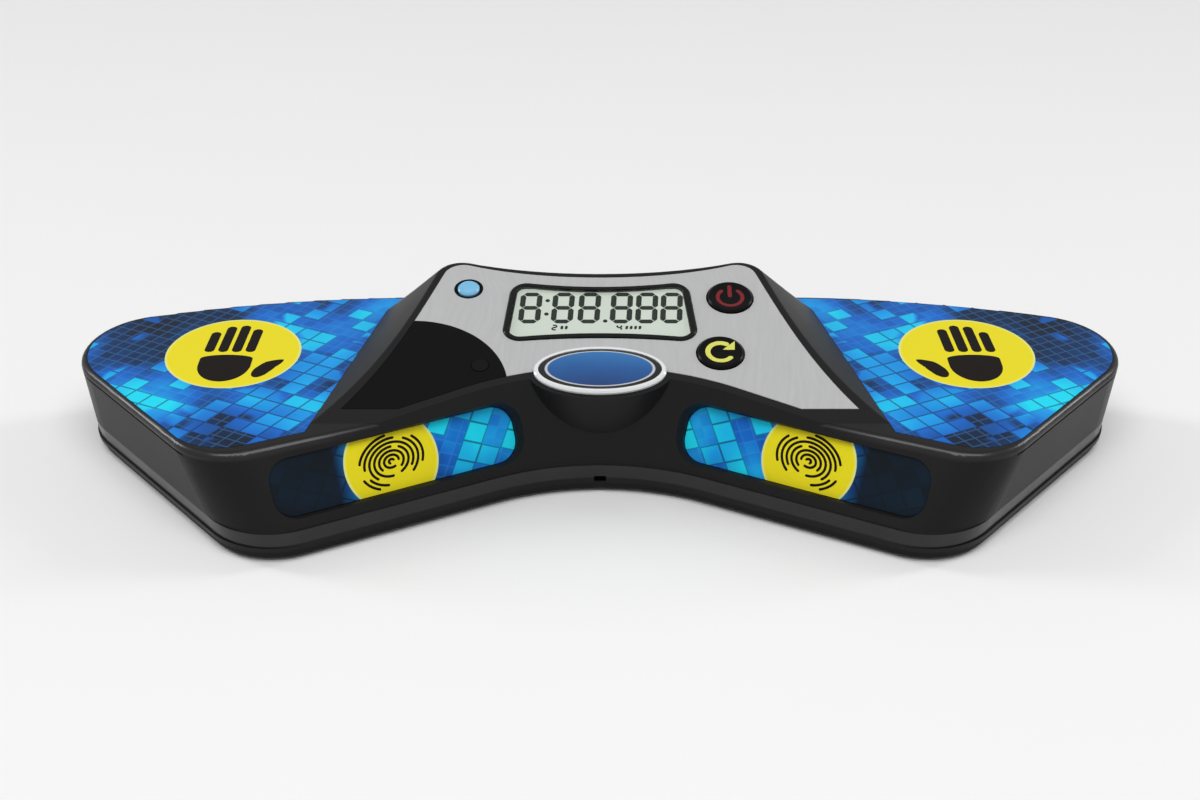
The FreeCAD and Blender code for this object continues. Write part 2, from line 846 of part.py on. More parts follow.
def sounder():
    """Round sounder with a small outlet in its top."""
    high = seam_z + sounder_height
    can = cylinder(sounder_r, seam_z, high, sounder_place)
    top = [e for e in can.Edges if abs(e.BoundBox.ZMin - high) < 0.01]
    can = can.makeChamfer(sounder_edge, top)
    hole = cylinder(sounder_hole_r, high - sounder_height / 3.0, high + past, sounder_place)
    return can.cut(hole)


# ---- fasteners and feet ---------------------------------------------------------------------------
def both_sides(places):
    return [(side * x, y) for x, y in places for side in (1, -1)]


def from_tips(places):
    """Places given by how far in from each wing tip they lie, and their Y."""
    return both_sides([(width / 2.0 - inset, y) for inset, y in places])


def seat_z():
    return foot_proud + head_seat


def split_z():
    return seam_z + post_split


def housing_screws():
    screws = []
    for place in from_tips(screw_places):
        head = cylinder(head_r, seat_z() - head_height, seat_z(), place)
        low = [e for e in head.Edges if abs(e.BoundBox.ZMax - seat_z() + head_height) < 0.01]
        shank = cylinder(screw_r, seat_z() - head_height / 2.0, seat_z() + screw_length, place)
        screws.append(head.makeChamfer(head_height / 3.0, low).fuse(shank).removeSplitter())
    return Part.Compound(screws)


def rubber_feet():
    feet = []
    for place in from_tips(foot_places):
        foot = cylinder(foot_r, 0, foot_proud + foot_seat, place)
        low = [e for e in foot.Edges if e.BoundBox.ZMax < 0.01]
        feet.append(foot.makeChamfer(foot_edge, low))
    return Part.Compound(feet)


# ---- data jack ------------------------------------------------------------------------------------
def jack_mouth_y():
    return rear_y - side_inset(jack_z) + jack_nose_proud


def jack_block_y():
    return rear_y - side_inset(jack_z - jack_side / 2.0) - wall - jack_wall_gap


def jack_bar(r, low, high):
    return Part.makeCylinder(r, high - low, vec(jack_x, low, jack_z), vec(0, 1))


def data_jack():
    """Jack socket: square body, round nose through the rear wall and a blind bore."""
    half = jack_side / 2.0
    low = jack_mouth_y() - jack_depth - jack_back
    body = box(jack_x - half, jack_x + half, low, jack_block_y(), jack_z - half, jack_z + half)
    nose = jack_bar(jack_nose_r, low + jack_back, jack_mouth_y())
    return body.fuse(nose).removeSplitter().cut(jack_bar(jack_bore_r, jack_mouth_y() - jack_depth, big))


def jack_board_low():
    return jack_z - jack_side / 2.0 - jack_board_thickness


def jack_board():
    half = jack_side / 2.0 + jack_board_margin
    return box(jack_x - half, jack_x + half, jack_board_front(), jack_block_y(), jack_board_low(),
               jack_board_low() + jack_board_thickness)


def jack_board_front():
    return jack_mouth_y() - jack_depth - jack_back - jack_board_margin


# ---- batteries ------------------------------------------------------------------------------------
def bay_half_length():
    return cell_length / 2.0 + spring_room / 2.0 + contact_thickness


def bay_half_width():
    return cell_pitch / 2.0 + cell_r + cell_gap


def cover_top():
    return foot_proud + cover_thickness


def cell_z():
    return seam_z + cell_gap + cell_r


def bay_top():
    return cell_z() + cell_r + cell_gap


def cell_ys():
    return [(bay_y - cell_pitch / 2.0, 1), (bay_y + cell_pitch / 2.0, -1)]


def cell_start():
    """X where a cell's flat end rests on its spring, measured on the spring side."""
    return -bay_half_length() + contact_thickness + spring_room


def battery(y, way):
    """Cell with its button end, the shallow groove behind it and rounded ends; way +1 points to +X."""
    start = cell_start()
    body = cell_length - cell_button
    can = Part.makeCylinder(cell_r, body, vec(start, 0), vec(1, 0))
    ends = [e for e in can.Edges if isinstance(e.Curve, Part.Circle)]
    can = can.makeChamfer(cell_edge, ends)
    at = vec(start + body - cell_groove_place, 0)
    ring = Part.makeCylinder(cell_r + past, cell_groove_width, at, vec(1, 0))
    ring = ring.cut(Part.makeCylinder(cell_r - cell_groove_depth, cell_groove_width, at, vec(1, 0)))
    button = Part.makeCylinder(cell_button_r, cell_button + past, vec(start + body - past, 0), vec(1, 0))
    cell = can.cut(ring).fuse(button)
    if way < 0:
        cell = mirrored(cell)
    cell.translate(vec(0, y, cell_z()))
    return cell


def spring_wire():
    """Section of the spring wire at the start of its coil."""
    turn = 2 * math.pi / spring_wire_sides
    corners = [vec(spring_r + spring_wire_r * math.cos(i * turn), 0, spring_wire_r * math.sin(i * turn))
               for i in range(spring_wire_sides)]
    return Part.makePolygon(corners + corners[:1])


def battery_springs():
    """Coil spring behind the flat end of each cell."""
    springs = []
    for y, way in cell_ys():
        length = spring_room - 2 * spring_wire_r
        helix = Part.makeHelix(length / spring_turns, length, spring_r)
        coil = Part.Wire(helix).makePipeShell([spring_wire()], True, True)
        coil.rotate(vec(0, 0), vec(0, 1), 90)
        coil.translate(vec(-bay_half_length() + contact_thickness + spring_wire_r, 0))
        if way < 0:
            coil = mirrored(coil)
        coil.translate(vec(0, y, cell_z()))
        springs.append(coil)
    return Part.Compound(springs)


def battery_contacts():
    """Sprung plates at both ends of each cell; one long plate joins the two cells."""
    half = bay_half_length()
    thick = contact_thickness
    rise = (cell_z() - contact_half, cell_z() + contact_half)
    plates = [box(-half, -half + thick, y - contact_half, y + contact_half, *rise) for y, way in cell_ys()]
    low, high = cell_ys()[0][0] - contact_half, cell_ys()[1][0] + contact_half
    plates.append(box(half - thick, half, low, high, *rise))
    return Part.Compound([round_along_x(plate) for plate in plates])


def round_along_x(plate):
    edges = [e for e in plate.Edges if abs(e.tangentAt(e.FirstParameter).x) > 0.999]
    return plate.makeFillet(contact_corner_r, edges)


def hinge_y():
    return bay_y + bay_half_width() + bay_ledge


def hinge_z():
    return foot_proud + hinge_r


def cover_half_length():
    return bay_half_length() + bay_ledge - cover_gap


def cover_front():
    return bay_y - bay_half_width() - bay_ledge + cover_gap


def bar_along_x(r, half, y, z):
    return Part.makeCylinder(r, 2 * half, vec(-half, y, z), vec(1, 0))


def tab_place():
    return (0.0, cover_front() - tab_length + tab_screw_inset)


def battery_cover():
    """Cover with a rolled rear edge, stub pins, finger grips and a screw tab in front."""
    half = cover_half_length()
    plate = box(-half, half, cover_front(), hinge_y(), foot_proud, cover_top())
    barrel = bar_along_x(hinge_r, half, hinge_y(), hinge_z())
    pins = bar_along_x(hinge_pin_r, half + hinge_pin_length, hinge_y(), hinge_z())
    tab = box(-tab_half, tab_half, cover_front() - tab_length, cover_front() + 2 * tab_corner_r,
              foot_proud, cover_top())
    tab = round_upright(tab, tab_corner_r)
    cover = plate.fuse([barrel, pins, tab]).removeSplitter()
    grips = []
    for i in range(grip_count):
        y = bay_y + (i - (grip_count - 1) / 2.0) * grip_pitch
        grips.append(box(-grip_half, grip_half, y - grip_width / 2.0, y + grip_width / 2.0,
                         0, foot_proud + grip_depth))
    place = tab_place()
    hole = cylinder(cover_screw_r + screw_hole_gap, 0, big, place)
    sink = cylinder(cover_head_r + cover_head_gap, 0, foot_proud + cover_head_height, place)
    return cover.cut(grips + [hole, sink])


def cover_screw():
    """Captive screw in the tab of the battery cover."""
    place = tab_place()
    low = foot_proud
    high = low + cover_head_height
    head = cylinder(cover_head_r, low, high, place)
    shank = cylinder(cover_screw_r, low + cover_head_height / 2.0, high + cover_screw_length, place)
    slot = box(-cover_head_r, cover_head_r, place[1] - cover_slot_width / 2.0,
               place[1] + cover_slot_width / 2.0, low - past, low + cover_slot_depth)
    return head.fuse(shank).removeSplitter().cut(slot)


# ---- lower housing --------------------------------------------------------------------------------
def lower_housing():
    """Tray: base plate, locating rib, screw posts, foot seats, snap sockets and battery bay."""
    floor = lip_outline(foot_proud, seam_side_inset(), base_inset)
    plate = Part.Face(floor).extrude(vec(0, 0, base_band))
    rib_in = wall + rib_gap
    rib = lip_form(seam_z - base_band / 2.0, seam_z + rib_height, rib_in)
    rib = rib.cut(lip_form(foot_proud, lip_z, rib_in + rib_width))
    adds = [rib]
    cuts = []
    for place in from_tips(screw_places):
        adds.append(cylinder(post_r, foot_proud, split_z(), place))
        cuts.append(cylinder(head_r + head_gap, 0, seat_z(), place))
        cuts.append(cylinder(screw_r + screw_hole_gap, 0, big, place))
    for place in both_sides([snap_place]):
        adds.append(cylinder(snap_r + snap_wall, foot_proud, foot_proud + snap_depth + snap_roof, place))
        cuts.append(cylinder(snap_r, 0, foot_proud + snap_depth, place))
    for place in from_tips(foot_places):
        cuts.append(cylinder(foot_r + foot_gap, 0, foot_proud + foot_seat, place))
    half = bay_half_length() + bay_wall
    side = bay_half_width() + bay_wall
    adds.append(box(-half, half, bay_y - side, bay_y + side, foot_proud, bay_top() + bay_roof))
    lug = half + hinge_pin_length
    reach = hinge_r + hinge_lug_wall
    adds.append(box(-lug, lug, hinge_y() - reach, hinge_y() + reach,
                    foot_proud, foot_proud + hinge_lug_height))
    adds.append(cylinder(cover_boss_r, seam_z, cover_boss_top(), tab_place()))
    adds.append(box(-cover_boss_r, cover_boss_r, tab_place()[1], bay_y - side + past, seam_z,
                    cover_boss_top()))
    cuts += bay_cuts() + [sounder_seat_cut()]
    adds.append(cylinder(sounder_r + sounder_gap + sounder_wall, foot_proud,
                         seam_z + sounder_height / 2.0, sounder_place))
    adds += jack_posts()
    return plate.fuse(adds).removeSplitter().cut(cuts)


def cover_boss_top():
    return foot_proud + cover_head_height + cover_screw_length + cover_boss_roof


def sounder_seat_cut():
    return cylinder(sounder_r + sounder_gap, seam_z, big, sounder_place)


def jack_posts():
    """Two posts that carry the small jack board."""
    ys = (jack_board_front() + jack_post_inset, jack_block_y() - jack_post_inset)
    return [cylinder(jack_post_r, foot_proud, jack_board_low(), (jack_x, y)) for y in ys]


def bay_cuts():
    """Battery space, the opening its cover closes, the hinge seats and the screw hole."""
    long_half = bay_half_length()
    wide_half = bay_half_width()
    edge = bay_ledge
    inside = box(-long_half, long_half, bay_y - wide_half, bay_y + wide_half, 0, bay_top())
    mouth = box(-long_half - edge, long_half + edge, bay_y - wide_half - edge,
                hinge_y() + hinge_r + hinge_gap, 0, seam_z)
    barrel = bar_along_x(hinge_r + hinge_gap, long_half + edge, hinge_y(), hinge_z())
    pins = bar_along_x(hinge_pin_r + hinge_pin_gap, cover_half_length() + hinge_pin_length
                       + hinge_pin_end_gap, hinge_y(), hinge_z())
    grow = cover_gap
    tab = box(-tab_half - grow, tab_half + grow, cover_front() - tab_length - grow, bay_y, 0, seam_z)
    hole = cylinder(cover_screw_r + cover_screw_gap, 0, cover_boss_top() - cover_boss_roof + hole_end_gap,
                    tab_place())
    return [inside, mouth, barrel, pins, tab, hole]


# ---- upper housing --------------------------------------------------------------------------------
def shell_outside():
    """Lip, bead, rounded wings, console and badge boss as one solid."""
    wings = wall_form(lip_z, wing_height)
    top = [e for e in wings.Edges if e.BoundBox.ZMin > wing_height - 0.01]
    wings = wings.makeFillet(edge_r, top)
    lip = lip_form(seam_z, lip_z)
    foot_bead = lip_form(seam_z, seam_z + bead_height, 0, bead)
    return wings.fuse([lip, foot_bead, console_body(), badge_boss()]).removeSplitter()


def shell_inside():
    """Hollow of the upper housing, a wall's thickness inside it."""
    ceiling = wing_height - wall
    wings = wall_form(lip_z, ceiling, wall)
    lip = lip_form(seam_z - past, lip_z, wall)
    throat = Part.Face(console_foot(console_wall)).extrude(vec(0, 0, -wall))
    under = below_console(console_wall)
    rise = throat.fuse(console_form(console_wall)).common(under).common(front_limit(wall))
    return wings.fuse([lip, rise])


def screw_posts():
    return [cylinder(post_r, split_z(), big, place) for place in from_tips(screw_places)]


def board_post_bars():
    return [on_console(cylinder(board_post_r, -board_drop, 0, place)) for place in board_posts()]


def rim_groove():
    """Shadow line round the sides and rear, running out at the front corners."""
    high = wing_height - rim_height
    low = high - rim_groove_height
    outer = loft(wing_outline(low, -past), wing_outline(high, -past))

    def core(z):
        front = face_front(z, -2 * past)
        return outline(z, side_inset(z) + rim_groove_depth, front, corner_radius(z), hollow_radius(z))

    return outer.cut(loft(core(low), core(high)))


def shell_holes():
    """Everything cut into the upper housing once its walls and posts stand."""
    cuts = []
    for shape in (hand_pad_prism(pad_gap, wing_height - pad_thickness, wing_height + past), slot_cut()):
        cuts += [shape, mirrored(shape)]
    cuts.append(faceplate_form(pad_gap, plate_thickness))
    cuts.append(on_console(display_prism(-pad_gap, -plate_thickness, past)))
    cuts.append(on_console(display_prism(bezel_width + window_seat, -big, 0)))
    cuts.append(on_console(glass_box(holder_wall + pad_gap, -console_wall - past, glass_top())))
    cuts += [on_console(cylinder(r, -big, past, place)) for place, r in button_holes()]
    cuts.append(on_console(cylinder(led_lens_r + pad_gap, -big, past, led_place)))
    for place in board_posts():
        pilot = cylinder(board_screw_r + screw_pilot_gap, -big, board_w + board_screw_length + hole_end_gap,
                         place)
        cuts.append(on_console(pilot))
    for place in from_tips(screw_places):
        cuts.append(cylinder(screw_r + screw_pilot_gap, 0, seat_z() + screw_length + hole_end_gap, place))
    cuts.append(jack_bar(jack_nose_r + jack_nose_gap, 0, big))
    cuts.append(box(-notch_width / 2.0, notch_width / 2.0, -depth, 0, 0, seam_z + notch_height))
    cuts.append(rim_groove())
    return cuts


def upper_housing():
    """Moulded shell with its slot trays, screw posts and every opening."""
    tray = slot_tray()
    stands = [tray, mirrored(tray)] + screw_posts() + board_post_bars()
    shell = shell_outside().cut(shell_inside().cut(stands))
    return shell.cut(shell_holes())


# ---- files ----------------------------------------------------------------------------------------
def parts():
    """Every piece by name."""
    pad = hand_pad()
    finger = finger_pad()
    foil = touch_plate()
    strip = finger_plate()
    pieces = {
        "upper_housing": upper_housing(), "lower_housing": lower_housing(),
        "right_hand_pad": pad, "left_hand_pad": mirrored(pad),
        "right_finger_pad": finger, "left_finger_pad": mirrored(finger),
        "right_touch_plate": foil, "left_touch_plate": mirrored(foil),
        "right_finger_plate": strip, "left_finger_plate": mirrored(strip),
        "console_faceplate": console_faceplate(),
        "lcd_bezel": lcd_bezel(), "lcd_window": lcd_window(), "lcd_panel": lcd_panel(),
        "lcd_holder": lcd_holder(), "lcd_connector": lcd_connector(),
        "badge_rim": badge_rim(), "badge_face": badge_face(),
        "led_lens": led_lens(), "status_led": status_led(),
        "main_board": main_board(), "board_screws": board_screws(),
        "controller_chip": controller_chip(), "clock_crystal": clock_crystal(), "sounder": sounder(),
        "data_jack": data_jack(), "jack_board": jack_board(),
        "battery_springs": battery_springs(), "battery_contacts": battery_contacts(),
        "battery_cover": battery_cover(), "cover_screw": cover_screw(),
        "housing_screws": housing_screws(), "rubber_feet": rubber_feet(),
    }
    for name, place, r in buttons():
        pieces[name + "_button"] = button(place, r)
        pieces[name + "_plunger"] = switch_plunger(place)
        pieces[name + "_switch"] = switch_housing(place)
    for name, (y, way) in zip(("front_battery", "rear_battery"), cell_ys()):
        pieces[name] = battery(y, way)
    return pieces


def write(name, shape):
    """Writes the closed solids of one piece."""
    solids = shape.Solids
    body = solids[0] if len(solids) == 1 else Part.Compound(solids)
    body.exportStep("parts/" + name + ".step")


os.makedirs("parts", exist_ok=True)
for part_name, part_shape in parts().items():
    write(part_name, part_shape)
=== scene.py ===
import math

import bmesh
import bpy
import numpy as np
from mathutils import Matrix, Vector


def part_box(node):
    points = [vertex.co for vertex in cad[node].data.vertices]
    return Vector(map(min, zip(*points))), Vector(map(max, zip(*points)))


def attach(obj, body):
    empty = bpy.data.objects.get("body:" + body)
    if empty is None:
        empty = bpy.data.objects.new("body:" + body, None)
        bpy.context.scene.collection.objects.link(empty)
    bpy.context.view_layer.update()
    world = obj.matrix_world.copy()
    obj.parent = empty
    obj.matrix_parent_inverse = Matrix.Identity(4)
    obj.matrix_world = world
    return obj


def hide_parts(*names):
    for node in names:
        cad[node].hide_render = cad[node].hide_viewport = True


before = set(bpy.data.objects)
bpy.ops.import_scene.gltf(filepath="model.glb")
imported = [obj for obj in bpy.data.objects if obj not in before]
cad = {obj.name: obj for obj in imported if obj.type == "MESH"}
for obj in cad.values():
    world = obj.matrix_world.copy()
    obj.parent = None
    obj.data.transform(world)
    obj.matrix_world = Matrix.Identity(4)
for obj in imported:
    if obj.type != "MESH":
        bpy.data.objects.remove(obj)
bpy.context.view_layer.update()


# ---- Upper housing -------------------------------------------------------------------------------
# The shell with both wings, the console and the badge boss, injection-moulded in one piece in
# near-black ABS. Fine spark texture keeps it satin. The front rims and the lip get more gloss and a
# painted highlight, a lighter colour.
MM = 0.001
SHELL_BLACK = (0.0068, 0.0067, 0.0067, 1)
# a lighter black, for the random flow tone and for the painted highlight on the rims and the lip
SHELL_TONE_AND_HIGHLIGHT = (0.013, 0.013, 0.0133, 1)
SATIN = 0.18                 # specular level of satin black plastics
FLOW = 0.05                  # clouds of the melt's flow in a millimetre
POLISH = 0.42                # coat on the rims and the lip, which are also painted lighter as a highlight
WING_TOP = 24.0
RIM_DROP = 1.5               # the rims get more gloss and a painted highlight from this far below the wing tops
RIM_EDGE = 0.06              # to this far below them
CONSOLE_FRONT = 58.0         # half width over which the console runs into the front, without gloss or painted highlight
RIM_REAR = 0.0               # behind this the rims get neither
LIP = (4.6, 8.05)            # bottom and top of the lip, which gets the gloss and painted highlight of the rims


class Field:
    """A value that varies over a surface; its operators add the Math nodes that they need."""

    def __init__(self, finish, socket):
        self.finish = finish
        self.socket = socket

    def __add__(self, other):
        return self.finish.maths("ADD", self, other)

    def __radd__(self, other):
        return self.finish.maths("ADD", other, self)

    def __sub__(self, other):
        return self.finish.maths("SUBTRACT", self, other)

    def __rsub__(self, other):
        return self.finish.maths("SUBTRACT", other, self)

    def __mul__(self, other):
        return self.finish.maths("MULTIPLY", self, other)

    def __rmul__(self, other):
        return self.finish.maths("MULTIPLY", other, self)

    def __truediv__(self, other):
        return self.finish.maths("DIVIDE", self, other)

    def __pow__(self, other):
        return self.finish.maths("POWER", self, other)

    def __abs__(self):
        return self.finish.maths("ABSOLUTE", self)

    def past(self, level, blur):
        """0 below the level and 1 above it, with a soft edge as wide as the blur."""
        return self.finish.maths("MULTIPLY_ADD", self - level, 1 / blur, 0.5, clamp=True)


class Finish:
    """A material in the making, worked out from where a point lies on its piece, in millimetres."""

    def __init__(self, name, **constants):
        self.material = bpy.data.materials.new(name)
        self.material.use_nodes = True
        self.tree = self.material.node_tree
        self.shader = self.tree.nodes["Principled BSDF"]
        for socket, value in constants.items():
            self.shader.inputs[socket.replace("_", " ")].default_value = value

    def node(self, kind, settings=None, inputs=None, output=0):
        """Adds one node: its settings first, a ramp's stops among them, then its sockets."""
        node = self.tree.nodes.new(kind)
        for name, value in (settings or {}).items():
            if name == "stops":
                self.set_stops(node.color_ramp, value)
            else:
                setattr(node, name, value)
        for key, value in (inputs or {}).items():
            if isinstance(value, Field):
                self.tree.links.new(value.socket, node.inputs[key])
            else:
                node.inputs[key].default_value = value
        return Field(self, node.outputs[output])

    def set_stops(self, ramp, stops):
        while len(ramp.elements) < len(stops):
            ramp.elements.new(1.0)
        for element, (level, colour) in zip(ramp.elements, stops):
            element.position = level
            element.color = (*colour, 1)

    def maths(self, operation, *values, clamp=False):
        return self.node("ShaderNodeMath", {"operation": operation, "use_clamp": clamp},
                         dict(enumerate(values)))

    def place(self):
        """The point itself, in millimetres."""
        metres = self.node("ShaderNodeTexCoord", output="Object")
        return self.node("ShaderNodeVectorMath", {"operation": "SCALE"},
                         {0: metres, "Scale": 1 / MM})

    def axes(self):
        """The point's X, Y and Z, in millimetres."""
        place = self.place()
        return [self.node("ShaderNodeSeparateXYZ", inputs={0: place}, output=i) for i in range(3)]

    def vector(self, x, y, z=0.0):
        return self.node("ShaderNodeCombineXYZ", inputs={0: x, 1: y, 2: z})

    def clouds(self, lumps, detail=2.0, rough=0.5, where=None):
        """Cloudy value about 0.5, with so many lumps in a millimetre."""
        return self.node("ShaderNodeTexNoise",
                         inputs={"Vector": where or self.place(), "Scale": lumps,
                                 "Detail": detail, "Roughness": rough}, output="Fac")

    def mix(self, share, first, second):
        """A colour between two, or the second where the share is 1."""
        return self.node("ShaderNodeMix", {"data_type": "RGBA"}, {0: share, 6: first, 7: second}, 2)

    def ramp(self, value, *stops):
        return self.node("ShaderNodeValToRGB", {"stops": stops}, {0: value}, "Color")

    def feed(self, **fields):
        for socket, field in fields.items():
            self.tree.links.new(field.socket, self.shader.inputs[socket.replace("_", " ")])
        return self

    def relief(self, height, depth):
        """Bump from a height of 0 to 1 that stands for so many millimetres."""
        bump = self.node("ShaderNodeBump", inputs={"Height": height, "Distance": depth * MM})
        return self.feed(Normal=bump)

    def on(self, *pieces):
        for piece in pieces:
            piece.data.materials.clear()
            piece.data.materials.append(self.material)
        return self


def moulded(name, colours, rough, grain=0.012, **constants):
    """Moulded plastic in two colours, new and worn: spark texture as fine relief, faint flow clouds
    and an uneven sheen."""
    finish = Finish(name, **constants)
    flow = finish.clouds(FLOW, detail=3.0)
    finish.feed(Base_Color=finish.mix(flow, *colours), Roughness=rough - 0.05 + 0.1 * flow)
    return finish.relief(finish.clouds(3.2, detail=3.0, rough=0.6), grain)


shell_abs = Finish("satin_black_abs", Specular_IOR_Level=SATIN, Coat_Roughness=0.2)
flow = shell_abs.clouds(FLOW, detail=3.0)
x, y, z = shell_abs.axes()
rims = z.past(WING_TOP - RIM_DROP, blur=RIM_DROP / 2)
rims = rims * (1 - z.past(WING_TOP - RIM_EDGE, blur=RIM_EDGE))
rims = rims * abs(x).past(CONSOLE_FRONT, blur=12.0) * (1 - y.past(RIM_REAR, blur=16.0))
lip = z.past(LIP[0], blur=0.4) * (1 - z.past(LIP[1], blur=0.2))
# the rims and the lip get more coat, less roughness and a lighter colour, which is a painted
# highlight
gloss_and_painted_highlight = (rims + lip) * (0.7 + 0.6 * shell_abs.clouds(0.12, detail=4.0))
shell_abs.feed(Base_Color=shell_abs.mix(0.35 * flow + 0.5 * gloss_and_painted_highlight, SHELL_BLACK, SHELL_TONE_AND_HIGHLIGHT),
               Roughness=0.36 + 0.08 * flow - 0.10 * gloss_and_painted_highlight, Coat_Weight=POLISH * gloss_and_painted_highlight)
shell_abs.relief(shell_abs.clouds(3.0, detail=3.0, rough=0.6), 0.012)
shell_abs.on(cad["upper_housing"])


# ---- Lower housing and battery cover -------------------------------------------------------------
# The base tray is a second moulding in black ABS with a coarser grain, screwed up into the shell.
# The battery cover is from the same tool, hinged at its rear edge and held by a captive screw.
BASE_BLACKS = ((0.005, 0.005, 0.0053, 1), (0.009, 0.009, 0.0096, 1))

base_abs = moulded("grained_black_abs", BASE_BLACKS, rough=0.5, grain=0.02,
                   Specular_IOR_Level=SATIN)
base_abs.on(cad["lower_housing"], cad["battery_cover"])


# ---- Hand pads -----------------------------------------------------------------------------------
# A polyester film in a recess of each wing top, printed on its back with blue tiles and a yellow
# disc for the palm. The pattern is the same on both sides, mirrored.
TILE = 4.6                   # large tiles
GRID = 2.8                   # fine grid over the rest
TILE_TURN = math.radians(33)
TILE_SKEW = math.radians(8)  # the two rows of a tile are not quite square
TILE_BLUES = ((0.0, (0.001, 0.006, 0.018)), (0.22, (0.002, 0.026, 0.10)),
              (0.5, (0.005, 0.13, 0.56)), (0.75, (0.008, 0.34, 0.80)), (1.0, (0.010, 0.68, 0.88)))
LIT_GAIN = (0.10, 0.32)      # a lit tile is brighter by this, and by this much of its random value
FINE_GAIN = 0.12             # how far the small tiles differ
JOINT = 0.22                 # half width of the dark joint round a lit tile
JOINT_SHARE = 0.75
JOINT_LINE = (0.003, 0.02, 0.09, 1)
LINE = 0.11                  # and of a pale line of the fine grid
LINE_BLUR = 0.352
LINE_SHARE = 0.34
GRID_LINE = (0.06, 0.30, 0.72, 1)
GROUND_LIGHT = 0.25          # light of the ground, and the spots where it is brighter or darker
LIGHT_SPOTS = ((0.34, (64.0, 24.0), 30.0), (0.62, (108.0, -8.0), 19.0),
               (-0.14, (110.0, 18.0), 26.0))
GROUND_CROWD = 0.06          # share of large tiles that are lit, and the spots where more are
CROWD_SPOTS = ((0.85, (78.0, -12.0), 32.0), (0.55, (108.0, -8.0), 19.0),
               (0.55, (62.0, 26.0), 20.0))
BILLOW = 1.1                 # how far clouds change the light
DRIFT = 0.7                  # and the crowd
DISC = (88.2, 11.5)
DISC_R = 16.2
DISC_EDGE = 0.5
YELLOW = (0.80, 0.69, 0.012, 1)
PALE_YELLOW = (0.74, 0.76, 0.22, 1)


def lattice(finish, across, along, pitch):
    """A two-way lattice of the given pitch: each tile's own random value, and how far a point lies
    inside the nearest joint."""
    rows = [across * (math.cos(turn) / pitch) + along * (math.sin(turn) / pitch)
            for turn in (TILE_TURN, TILE_TURN + math.pi / 2 - TILE_SKEW)]
    cell = finish.vector(*[finish.maths("FLOOR", row) for row in rows], pitch)
    shade = finish.node("ShaderNodeTexWhiteNoise", inputs={"Vector": cell}, output="Value")
    edges = [0.5 - abs(finish.maths("FRACT", row) - 0.5) for row in rows]
    return shade, finish.maths("MINIMUM", *edges) * pitch


def tile_print(finish, across, along, light, crowd):
    """Blue tiles. The light says how bright the ground is. A large tile is lit, and brighter than
    the ground, where its own random value is above 1 - crowd. The ground between the lit tiles
    carries a fine pale grid."""
    shade, inside = lattice(finish, across, along, TILE)
    fine_shade, fine_inside = lattice(finish, across, along, GRID)
    lit = (shade + crowd).past(1.0, blur=0.06)
    value = light + lit * (LIT_GAIN[0] + LIT_GAIN[1] * shade)
    value = value + (1 - lit) * FINE_GAIN * (fine_shade - 0.5)
    line = LINE_SHARE * (1 - lit) * (1 - fine_inside.past(LINE, blur=LINE_BLUR))
    joint = JOINT_SHARE * lit * (1 - inside.past(JOINT, blur=JOINT))
    ground = finish.mix(line, finish.ramp(value, *TILE_BLUES), GRID_LINE)
    return finish.mix(joint, ground, JOINT_LINE)


def distance(across, along, centre):
    """How far a point lies from a centre."""
    return ((across - centre[0]) ** 2.0 + (along - centre[1]) ** 2.0) ** 0.5


def spots(level, across, along, places):
    """A level with spots on it: each is (height, centre, reach), and falls evenly from its full
    height at the centre to nothing at its reach."""
    for height, centre, reach in places:
        level = level + height * (1 - distance(across, along, centre).past(reach / 2, blur=reach))
    return level


def disc_print(finish, print_colour, across, along, centre, radius):
    """A yellow disc with a thin pale edge over the rest of a print."""
    spread = distance(across, along, centre)
    yellow = finish.mix(spread.past(radius - DISC_EDGE, blur=0.25), YELLOW, PALE_YELLOW)
    return finish.mix(spread.past(radius, blur=0.12), yellow, print_colour)


pad_film = Finish("printed_pad_film", Coat_Weight=0.04, Coat_Roughness=0.12,
                  Specular_IOR_Level=0.15)
x, y, z = pad_film.axes()
mirrored = pad_film.vector(abs(x), y)
billow, drift = [pad_film.clouds(lumps, detail=1.0, rough=0.4, where=mirrored) - 0.5
                 for lumps in (0.042, 0.075)]
light = spots(GROUND_LIGHT, abs(x), y, LIGHT_SPOTS) + BILLOW * billow
crowd = spots(GROUND_CROWD, abs(x), y, CROWD_SPOTS) + DRIFT * drift
pad_blue = tile_print(pad_film, abs(x), y, light, crowd)
pad_film.feed(Base_Color=disc_print(pad_film, pad_blue, abs(x), y, DISC, DISC_R),
              Roughness=0.32 + 0.12 * pad_film.clouds(0.06, detail=3.0))
pad_film.relief(pad_film.clouds(1.4), 0.004)
pad_film.on(cad["right_hand_pad"], cad["left_hand_pad"])


# ---- Hand signs ----------------------------------------------------------------------------------
# On each yellow disc an open hand is screen-printed in thick dark brown ink: four finger bars, a
# palm and a thumb that points at the console.
INK = 0.03                   # the ink stands this proud
INK_ROOT = 0.01              # and reaches this far into its ground, so that no gap shows
STATIONS = 44
BLUNT = 0.03                 # a stroke's end keeps this share of its width
HAND_INK = (0.005, 0.003, 0.002, 1)
FINGERS = ((-6.1, 9.6), (-2.8, 12.3), (0.5, 12.8), (3.8, 11.0))  # foot of each bar, and its length
FINGER_FOOT = 0.4
FINGER_LEAN = 0.05
FINGER_HALF = 1.2
PALM = ((-1.2, -13.2), (-1.2, -0.9))
PALM_HALF = 6.3
PALM_ENDS = ((7.5, 2), (1.8, 2))
THUMB = ((6.6, -11.2), (8.0, -8.2), (9.6, -5.6), (12.6, -3.2))
THUMB_HALF = 1.9
THUMB_ENDS = ((3.5, 2), (5.0, 1.5))


